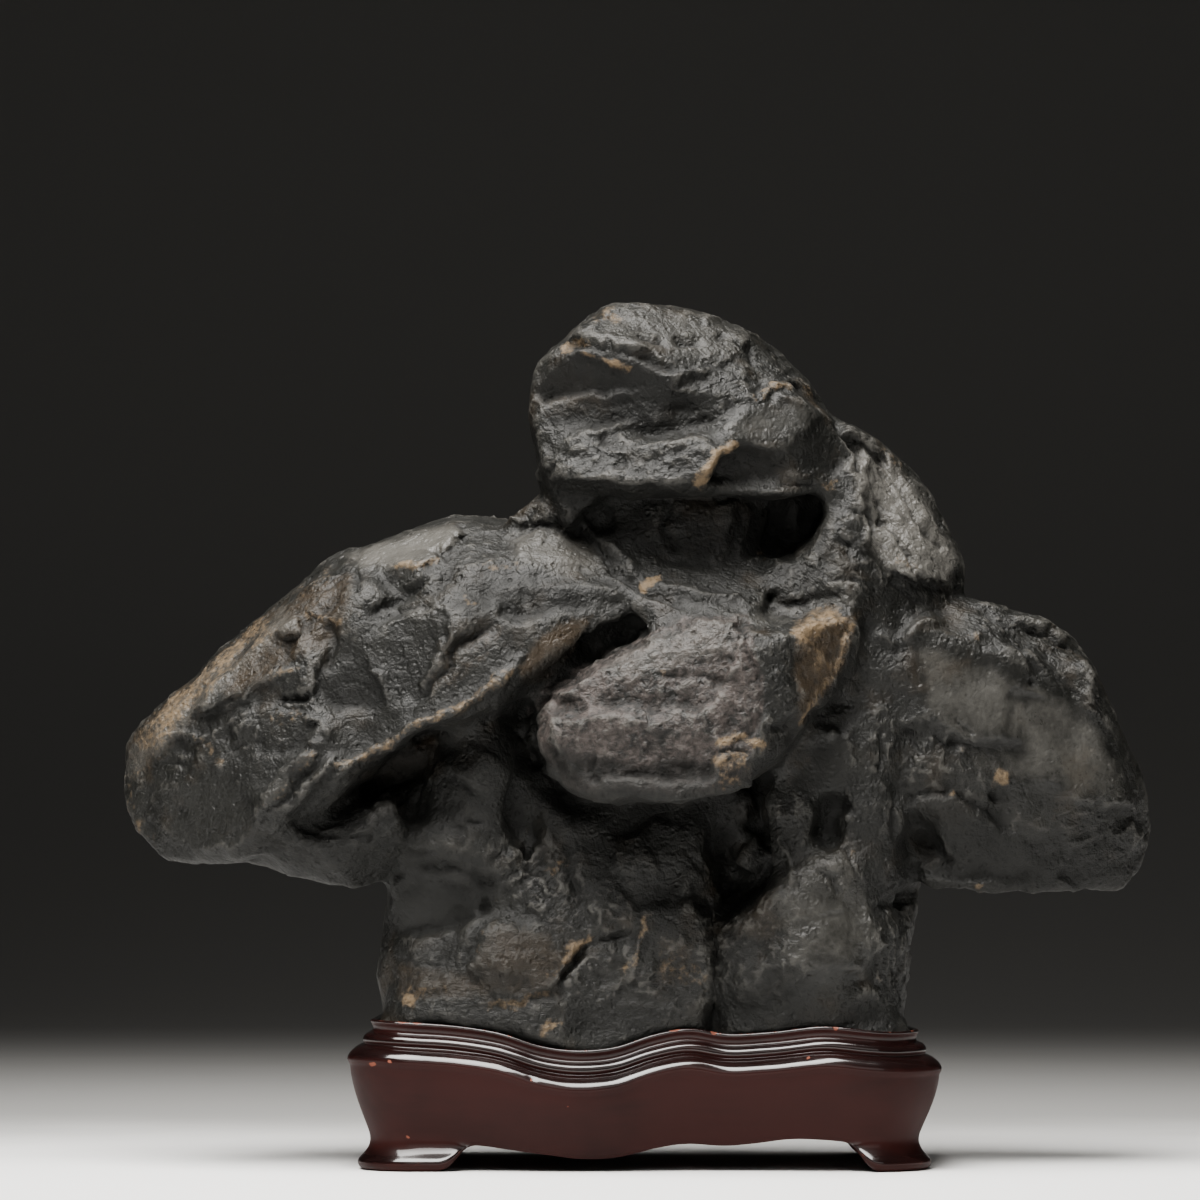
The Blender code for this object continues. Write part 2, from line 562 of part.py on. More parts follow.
def build_stone(group, helpers):
    stone = add_object("stone", fused_blocks(helpers), group)
    add_voxel_remesh(stone, "even_out", SHAPE_VOXEL)
    soften = stone.modifiers.new("soften", "SMOOTH")
    soften.factor = SOFTEN_FACTOR
    soften.iterations = SOFTEN_PASSES
    for name, pattern_type, size, rise in LUMPS:
        pattern = bpy.data.textures.new(name, pattern_type)
        pattern.noise_scale = size * MM
        lumps = stone.modifiers.new(name, "DISPLACE")
        lumps.texture = pattern
        lumps.texture_coords = "LOCAL"
        lumps.strength = rise * MM
        lumps.mid_level = 0.5
    fewer = stone.modifiers.new("fewer_faces", "DECIMATE")
    fewer.ratio = STONE_TRIANGLES_KEPT
    fewer.use_collapse_triangulate = True
    collar = loft("collar", collar_rings(), helpers)
    hide(collar)
    recess_space = loft("recess_space", recess_rings(), helpers)
    hide(recess_space)
    cut(collar, "recess_space", recess_space)
    cut(stone, "fit_to_stand", collar)
    weld = stone.modifiers.new("weld", "WELD")
    weld.merge_threshold = WELD_DISTANCE * MM
    add_finish(stone, "dark_stone", STONE_COLOUR, STONE_ROUGHNESS)


def main():
    for old in list(bpy.data.objects):
        bpy.data.objects.remove(old)
    group = add_group("scholars_rock")
    helpers = add_group("cutters")
    build_stand(group)
    build_stone(group, helpers)


main()
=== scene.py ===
"""The looks of a scholar's rock on its carved and lacquered stand.

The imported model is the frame. The stone is carved over a fine copy of its solid, and the stand is lofted again with
finer mouldings. Sizes are in millimetres in the frame's axes (+X right, the front faces -Y, +Z up) unless a property
says otherwise, and MM turns one into Blender's metres.

Features of the stone's front are listed by their place on the front view: across and up, in millimetres, on the
upright plane through the middle of the stand, as seen from the viewpoint that ViewLook gives.
"""

import itertools
import math

import bmesh
import bpy
import numpy as np
from bpy.props import FloatProperty, FloatVectorProperty, IntProperty, PointerProperty
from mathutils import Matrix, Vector


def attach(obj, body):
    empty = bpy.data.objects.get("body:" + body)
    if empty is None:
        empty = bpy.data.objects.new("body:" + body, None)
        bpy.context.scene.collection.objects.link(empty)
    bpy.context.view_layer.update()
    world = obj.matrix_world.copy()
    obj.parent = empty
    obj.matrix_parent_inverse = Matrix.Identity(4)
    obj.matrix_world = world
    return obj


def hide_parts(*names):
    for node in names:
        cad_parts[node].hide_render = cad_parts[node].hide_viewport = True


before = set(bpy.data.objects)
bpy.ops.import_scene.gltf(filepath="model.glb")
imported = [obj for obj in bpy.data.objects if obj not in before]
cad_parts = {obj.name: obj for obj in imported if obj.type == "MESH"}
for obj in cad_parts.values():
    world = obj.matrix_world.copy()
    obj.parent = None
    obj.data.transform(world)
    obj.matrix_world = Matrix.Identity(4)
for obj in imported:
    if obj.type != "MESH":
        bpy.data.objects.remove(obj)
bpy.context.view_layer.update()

bl_info = {
    "name": "Scholar's Rock",
    "version": (1, 0, 0),
    "blender": (4, 5, 0),
    "location": "View3D > Sidebar > Scholar's Rock",
    "description": "Carves a viewing stone and turns out its lacquered stand around a fixed frame",
    "category": "Object",
}

MM = 0.001
STONE_NODE = "stone"
STAND_NODE = "wooden_stand"
BODY = "root"

# Front view: the middle of the view, the depth of the plane that it is measured on, and its width on that plane
VIEW_ACROSS = -10.4
VIEW_UP = 151.0
PLANE_DEPTH = 4.27
FRAME_WIDTH = 324.0
SENSOR = 36.0


# ---------------------------------------------------------------- front view


class FrontView:
    """Turns places in space into places on the front view."""

    def __init__(self, distance, elevation):
        tilt = math.radians(elevation)
        self.distance = distance
        self.forward = np.array((0.0, math.cos(tilt), -math.sin(tilt)))
        self.upward = np.array((0.0, math.sin(tilt), math.cos(tilt)))
        aim = np.array((VIEW_ACROSS, PLANE_DEPTH, VIEW_UP))
        self.eye = aim - self.forward * distance

    def place(self, points):
        """Across, up and depth of each point."""
        ray = points - self.eye
        depth = ray @ self.forward
        across = VIEW_ACROSS + ray[:, 0] / depth * self.distance
        up = VIEW_UP + (ray @ self.upward) / depth * self.distance
        return np.column_stack([across, up]), depth


def front_view(look):
    """The front view from this viewpoint."""
    return FrontView(look.distance / MM, look.elevation)


# ---------------------------------------------------------------- noise

CORNERS = np.array(list(itertools.product((0, 1), repeat=3)))
NEIGHBOURS = np.array(list(itertools.product((-1, 0, 1), repeat=3)))
HASH_SIDE = 4096
# Brings smooth noise to about -1 to 1
WAVE_GAIN = 1.7
# How sharp the edges of edged noise are, and the level that it is centred on
EDGE_SHARPNESS = 1.9
EDGE_LEVEL = 0.35
# How round the faces of chiselled noise are
FACE_ROUNDNESS = 0.75


def directions(seed, count=HASH_SIDE):
    """A fixed list of unit vectors for this seed."""
    made = np.random.default_rng(seed).normal(size=(count, 3))
    return made / np.linalg.norm(made, axis=1)[:, None]


def scrambled(cell):
    """One number from 0 to HASH_SIDE - 1 for each whole-number cell."""
    mixed = cell[:, 0] * 73856093 ^ cell[:, 1] * 19349663 ^ cell[:, 2] * 83492791
    mixed = (mixed ^ (mixed >> 13)) * 1274126177
    return (mixed ^ (mixed >> 16)) & (HASH_SIDE - 1)


def waves(points, size, seed):
    """Smooth noise, about -1 to 1, whose swells are about this size."""
    scaled = points / size
    base = np.floor(scaled).astype(np.int64)
    inner = scaled - base
    fade = inner * inner * inner * (inner * (inner * 6.0 - 15.0) + 10.0)
    table = directions(seed)
    total = np.zeros(len(points))
    for corner in CORNERS:
        slope = table[scrambled(base + corner)]
        weight = np.prod(np.where(corner, fade, 1.0 - fade), axis=1)
        total += weight * np.einsum("ij,ij->i", slope, inner - corner)
    return total * WAVE_GAIN


def rough(points, size, seed, octaves=3, fall=0.5):
    """Layers of smooth noise, each half the size of the one before."""
    total = np.zeros(len(points))
    share = 1.0
    for octave in range(octaves):
        total += share * waves(points, size / 2**octave, seed + octave)
        share *= fall
    return total


def edged(points, size, seed, octaves=3, fall=0.5):
    """Noise with sharp edges and hollow flanks, about -0.5 to 0.5."""
    total = np.zeros(len(points))
    share = 1.0
    for octave in range(octaves):
        swell = np.abs(waves(points, size / 2**octave, seed + octave))
        edge = 1.0 - np.minimum(swell * EDGE_SHARPNESS, 1.0)
        total += share * (edge * edge - EDGE_LEVEL)
        share *= fall
    return total


def along_grain(points, angle, stretch):
    """The points, drawn together along a direction of the front, so that a pattern on them is stretched that way."""
    turn = math.radians(angle)
    way = np.array((math.cos(turn), 0.0, math.sin(turn)))
    return points - np.outer(points @ way, way) * (1.0 - 1.0 / stretch)


def chiselled(points, size, seed, tilt):
    """Flat faces that meet in creases, about this size; tilt is how steeply the faces lean."""
    scaled = points / size
    base = np.floor(scaled).astype(np.int64)
    spots = np.random.default_rng(seed).random((HASH_SIDE, 3))
    leans = directions(seed + 1) * tilt
    best = np.full(len(points), -1e9)
    for offset in NEIGHBOURS:
        cell = base + offset
        key = scrambled(cell)
        away = scaled - cell - spots[key]
        height = np.einsum("ij,ij->i", leans[key], away) - FACE_ROUNDNESS * np.einsum("ij,ij->i", away, away)
        best = np.maximum(best, height)
    return best * size


# ---------------------------------------------------------------- carving


# Points this near each other on the front view may hide one another; a point this much deeper is hidden
SIGHT_CELL = 1.5
HIDDEN_FROM = 5.0
HIDDEN_TO = 9.0
# The broken-off side of a ledge
LEDGE_DROP = 1.1
# A facet needs this many points, and no point moves further than this
FACET_POINTS = 30
FACET_REACH = 6.0


def soft_step(low, high, value):
    """0 at low and 1 at high, soft at both ends."""
    share = np.clip((value - low) / (high - low), 0.0, 1.0)
    return share * share * (3.0 - 2.0 * share)


def along_line(points, line):
    """Distance from the line, share of the way along it, and the side: 1 to its left, -1 to its right."""
    nearest = np.full(len(points), 1e9)
    share = np.zeros(len(points))
    side = np.ones(len(points))
    corners = np.array(line, float)
    if len(corners) == 1:
        return np.linalg.norm(points - corners[0], axis=1), share + 0.5, side
    lengths = np.linalg.norm(np.diff(corners, axis=0), axis=1)
    travelled = 0.0
    for start, end, length in zip(corners, corners[1:], lengths):
        way = (end - start) / length
        run = np.clip((points - start) @ way, 0.0, length)
        off = points - start - run[:, None] * way
        gap = np.linalg.norm(off, axis=1)
        closer = gap < nearest
        nearest = np.where(closer, gap, nearest)
        share = np.where(closer, (travelled + run) / lengths.sum(), share)
        turned = way[0] * off[:, 1] - way[1] * off[:, 0]
        side = np.where(closer, np.where(turned >= 0.0, 1.0, -1.0), side)
        travelled += length
    return nearest, share, side


def inside_by(points, outline):
    """How far inside the closed outline each point lies; negative outside."""
    gap, _, _ = along_line(points, list(outline) + [outline[0]])
    inside = np.zeros(len(points), bool)
    corners = np.array(outline, float)
    for (x_a, y_a), (x_b, y_b) in zip(corners, np.roll(corners, -1, axis=0)):
        crosses = (y_a > points[:, 1]) != (y_b > points[:, 1])
        if y_a == y_b:
            continue
        at = (x_b - x_a) * (points[:, 1] - y_a) / (y_b - y_a) + x_a
        inside ^= crosses & (points[:, 0] < at)
    return np.where(inside, gap, -gap)


class Carving:
    """A mesh's points, with what is needed to carve them from the front or the back."""

    def __init__(self, mesh, view):
        self.mesh = mesh
        self.view = view
        count = len(mesh.vertices)
        self.points = np.empty(count * 3)
        mesh.vertices.foreach_get("co", self.points)
        self.points = self.points.reshape(-1, 3) / MM
        self.read_normals()
        ends = np.empty(len(mesh.edges) * 2, np.int64)
        mesh.edges.foreach_get("vertices", ends)
        self.ends = ends.reshape(-1, 2)
        self.links = np.maximum(np.bincount(self.ends.ravel(), minlength=count), 1)[:, None]

    def smooth_normals(self, passes):
        """Evens the normals out, so that a carved step doesn't fan out at an edge."""
        self.normals = self.averaged(self.normals, passes)
        self.normals /= np.linalg.norm(self.normals, axis=1)[:, None]

    def read_normals(self):
        """Reads each point's normal."""
        self.normals = np.empty(len(self.points) * 3)
        self.mesh.vertices.foreach_get("normal", self.normals)
        self.normals = self.normals.reshape(-1, 3)

    def averaged(self, values, passes):
        """Each point's values, averaged with its neighbours' this many times."""
        values = np.asarray(values, float).reshape(len(self.points), -1)
        for _ in range(passes):
            total = np.zeros_like(values)
            for column in range(values.shape[1]):
                total[:, column] = np.bincount(
                    self.ends[:, 0], values[self.ends[:, 1], column], len(values)
                ) + np.bincount(self.ends[:, 1], values[self.ends[:, 0], column], len(values))
            values = 0.5 * values + 0.5 * total / self.links
        return values

    def look(self):
        """Finds which points show from the front, and where."""
        self.seen, self.depth = self.view.place(self.points)
        grid = np.floor(self.seen / SIGHT_CELL).astype(int)
        grid -= grid.min(axis=0)
        key = grid[:, 0] * (grid[:, 1].max() + 1) + grid[:, 1]
        nearest = np.full(key.max() + 1, 1e9)
        np.minimum.at(nearest, key, self.depth)
        behind = self.depth - nearest[key]
        facing = -self.normals @ self.view.forward
        self.facing = facing
        shows = soft_step(HIDDEN_TO, HIDDEN_FROM, behind) * soft_step(-0.15, 0.2, facing)
        self.shows = self.averaged(shows, 5)[:, 0]
        self.away = soft_step(0.0, -0.5, facing)

    def write(self):
        """Puts the carved points back on the mesh."""
        self.mesh.vertices.foreach_set("co", (self.points * MM).ravel())
        self.mesh.update()
        self.read_normals()


def profile(kind, gap, side, reach):
    """How much of its full height a stroke has at this distance from its line."""
    share = np.clip(gap / reach, 0.0, 1.0)
    if kind == "crease":
        return (1.0 - share) ** 1.6
    if kind == "swell":
        return (1.0 - share * share) ** 2
    drop = np.clip(1.0 - gap / LEDGE_DROP, 0.0, 1.0)
    return np.where(side > 0.0, (1.0 - share) ** 1.2, drop)


def stroke_heights(seen, strokes):
    """What these strokes add up to at each place of the front view."""
    total = np.zeros(len(seen))
    for kind, line, reach, rise in strokes:
        corners = np.array(line, float)
        low = corners.min(axis=0) - reach
        high = corners.max(axis=0) + reach
        near = np.flatnonzero(((seen > low) & (seen < high)).all(axis=1))
        if not len(near):
            continue
        gap, share, side = along_line(seen[near], line)
        ends = soft_step(0.0, 0.18, share) * soft_step(1.0, 0.82, share) if len(line) > 1 else 1.0
        total[near] += rise * profile(kind, gap, side, reach) * (0.25 + 0.75 * ends)
    return total


def flatten(carving, seen, facets):
    """Turns each outlined patch of the front into a flat face with crisp borders."""
    toward = -carving.view.forward
    moved = np.zeros(len(seen))
    for outline, lean, turn, push, share in facets:
        corners = np.array(outline, float)
        near = np.flatnonzero(
            ((seen > corners.min(axis=0) - 3.0) & (seen < corners.max(axis=0) + 3.0)).all(axis=1)
            & (carving.shows > 0.05)
        )
        if len(near) < FACET_POINTS:
            continue
        weight = soft_step(-0.6, 1.8, inside_by(seen[near], outline)) * carving.shows[near]
        place = carving.seen[near]
        depth = carving.depth[near] - moved[near]
        solid = weight > 0.4
        if solid.sum() < 12:
            continue
        middle = place[solid].mean(axis=0)
        off = place - middle
        columns = np.column_stack([np.ones(len(near)), off])
        fit, *_ = np.linalg.lstsq(columns[solid], depth[solid], rcond=None)
        for index, angle in ((1, turn), (2, lean)):
            if angle is not None:
                fit[index] = math.tan(math.radians(angle))
        target = columns @ fit - push
        change = np.clip(depth - target, -FACET_REACH, FACET_REACH)
        moved[near] += share * weight * change
    carving.points += moved[:, None] * toward


# ---------------------------------------------------------------- the stone's front

# Flat faces: outline, how far they lean back and turn right (degrees, None as the stone does), how far they stand
# out, how strictly
FACETS = (
    # head
    (((-19, 220), (-12, 223), (-4, 221), (4, 218), (12, 214), (22, 214), (29, 217), (30, 223), (20, 228),
      (4, 231), (-9, 230)), 46, None, 1.2, 0.55),
    (((-29, 209), (-20, 217), (-12, 219), (-4, 217.5), (4, 214.5), (10, 211.5), (4, 208), (-12, 206),
      (-26, 204)), -24, -18, -0.8, 0.9),
    (((-28, 205), (-12, 206), (2, 207), (8, 204), (2, 199), (-9, 197), (-26, 197)), -2, -10, -1.6, 0.75),
    (((11, 211), (21, 213), (29, 214), (31, 205), (26, 203), (18, 207), (9, 208)), 30, 6, 0.4, 0.55),
    (((23, 194), (26, 200), (32, 204.5), (39, 207), (47, 205), (49, 199), (42, 193), (30, 192)),
     30, 16, 0.6, 0.85),
    (((20, 189), (26, 192), (36, 191), (37, 187), (33, 183.5), (22, 182), (18.5, 183)), -16, 8, -1.2, 0.8),
    (((38, 206), (47, 205), (53, 198), (58, 190), (52, 184), (44, 188), (46, 198)), 8, 44, 0.0, 0.5),
    # left shoulder and arm
    (((-80, 162.5), (-71, 167), (-62, 169.5), (-50, 172), (-46, 169), (-52, 164), (-57, 160.5), (-65, 159),
      (-74, 160)), 58, None, 1.4, 0.8),
    (((-72, 141), (-66, 147), (-60, 148.5), (-52, 149), (-51, 141), (-55, 133), (-60, 124), (-65, 121.5),
      (-67, 128), (-73, 137)), 7, -12, 0.4, 0.85),
    (((-86, 130), (-80, 136), (-75, 136.5), (-69, 129), (-67.5, 122.5), (-72, 121), (-82, 121), (-86, 124)),
     -16, -12, -1.2, 0.35),
    (((-113, 121), (-104, 128), (-93, 133), (-91, 141), (-98, 143), (-106, 137), (-116, 128), (-121, 120)),
     34, -26, 0.6, 0.75),
    (((-90, 140), (-84, 146), (-79, 150), (-80, 158), (-88, 157), (-95, 149)), 30, -18, 0.3, 0.6),
    (((-112, 118), (-104, 124), (-94, 122), (-87, 118), (-89, 111), (-98, 108), (-108, 110)),
     2, -14, -0.8, 0.6),
    (((-129, 103), (-112, 104), (-104, 98), (-104, 90), (-110, 84), (-126, 85), (-134, 93)),
     -6, -18, 0.0, 0.3),
    (((-130, 113), (-124, 114), (-120, 112), (-120, 108.5), (-128, 108)), -10, -20, -1.4, 0.8),
    (((-50, 121), (-42, 128), (-35, 134), (-38, 142), (-44, 141), (-50, 136), (-55, 127)),
     12, -6, 0.0, 0.7),
    (((-38, 155), (-22, 156.5), (-9, 156), (-3, 152.5), (-12, 148), (-22, 147), (-30, 144), (-38, 147)),
     4, 0, -0.6, 0.75),
    (((-34, 167), (-26, 170.5), (-20, 169), (-13, 165), (-8.5, 159), (-14, 157.5), (-24, 158), (-32, 161)),
     42, 14, 1.0, 0.7),
    (((-78, 104), (-66, 109.5), (-57, 114), (-53, 115), (-53, 108), (-58, 102), (-66, 100), (-76, 101)),
     -40, 0, -1.0, 0.5),
    # the jutting block
    (((-27, 125.5), (-15, 131), (-5, 137.5), (6, 142), (16, 146), (27, 146.5), (27, 138), (24, 128),
      (16, 120), (0, 121), (-14, 122)), 14, -4, 0.5, 0.75),
    (((-24, 120), (-12, 121), (0, 120), (15, 118), (22, 113), (20, 102), (0, 102), (-12, 102), (-20, 104),
      (-25, 112)), -8, -3, 0.3, 0.75),
    (((30, 139), (38, 140.5), (42, 133), (42, 122), (38, 117.5), (34, 120), (33, 128)), 2, 16, -0.4, 0.7),
    (((42, 146), (52, 149), (59, 146), (56, 137), (50.5, 128), (47, 121), (43.5, 119.5), (44, 128),
      (42, 134), (44, 140)), 4, 42, 0.3, 0.8),
    # trunk
    (((-66, 77), (-52, 76), (-43, 71), (-45, 65), (-50, 61.5), (-58, 59), (-66, 60), (-68, 68)),
     -18, -18, -0.6, 0.75),
    (((-42, 62), (-34, 63.5), (-25, 61), (-20, 56), (-22, 48), (-30, 45), (-40, 46), (-47, 51)),
     6, 0, 0.4, 0.8),
    (((-15, 57), (-4, 59), (-3, 52), (-6, 47), (-16, 47), (-18, 52)), 0, 10, -0.8, 0.75),
    (((-61, 91), (-54, 92), (-46, 90), (-47, 84), (-55, 82), (-62, 84)), 26, -4, 0.6, 0.6),
    (((0, 66), (9, 70), (14, 90), (4, 92), (-6, 86), (-8, 74)), 0, 4, 0.0, 0.5),
    (((40, 71), (41, 78), (44, 83), (50, 84), (56, 72), (56, 62), (44, 62)), 10, 6, 0.4, 0.55),
    (((34, 58), (44, 66), (62, 68), (67, 58), (60, 50), (46, 50), (36, 52)), 16, 10, 0.4, 0.55),
    (((36, 50), (46, 48), (60, 48), (66, 46), (64, 38), (36, 38)), -12, 8, 0.0, 0.45),
    (((40, 117), (58, 117), (60, 106), (54, 99), (42, 99), (38, 106)), -6, 0, -0.6, 0.5),
    # right arm
    (((74, 140), (82, 144), (92, 138), (104, 130), (104, 112), (90, 112), (78, 118), (72, 128)),
     20, 6, 0.5, 0.4),
    (((100, 128), (112, 124), (124, 117), (132, 104), (134, 94), (120, 96), (104, 104), (98, 114)),
     16, 12, 0.2, 0.4),
    (((56, 196), (66, 191), (78, 177), (87, 160), (84, 154), (70, 157), (62, 165), (61, 180)),
     34, 8, 0.8, 0.7),
    (((2, 178), (27, 178), (25, 164), (20, 159), (6, 160), (1, 168)), 6, 0, 1.0, 0.6),
    (((118, 84), (134, 92), (137, 88), (131, 74), (120, 72), (112, 76)), -20, 22, 0.2, 0.6),
    (((72, 96), (85, 98), (95, 92), (103, 85), (108, 75), (88, 74), (78, 76), (84, 84)),
     -24, 4, -0.8, 0.45),
    (((100, 150), (108, 147.5), (114, 142.5), (108, 143), (98, 146)), 60, 10, 0.8, 0.6),
)

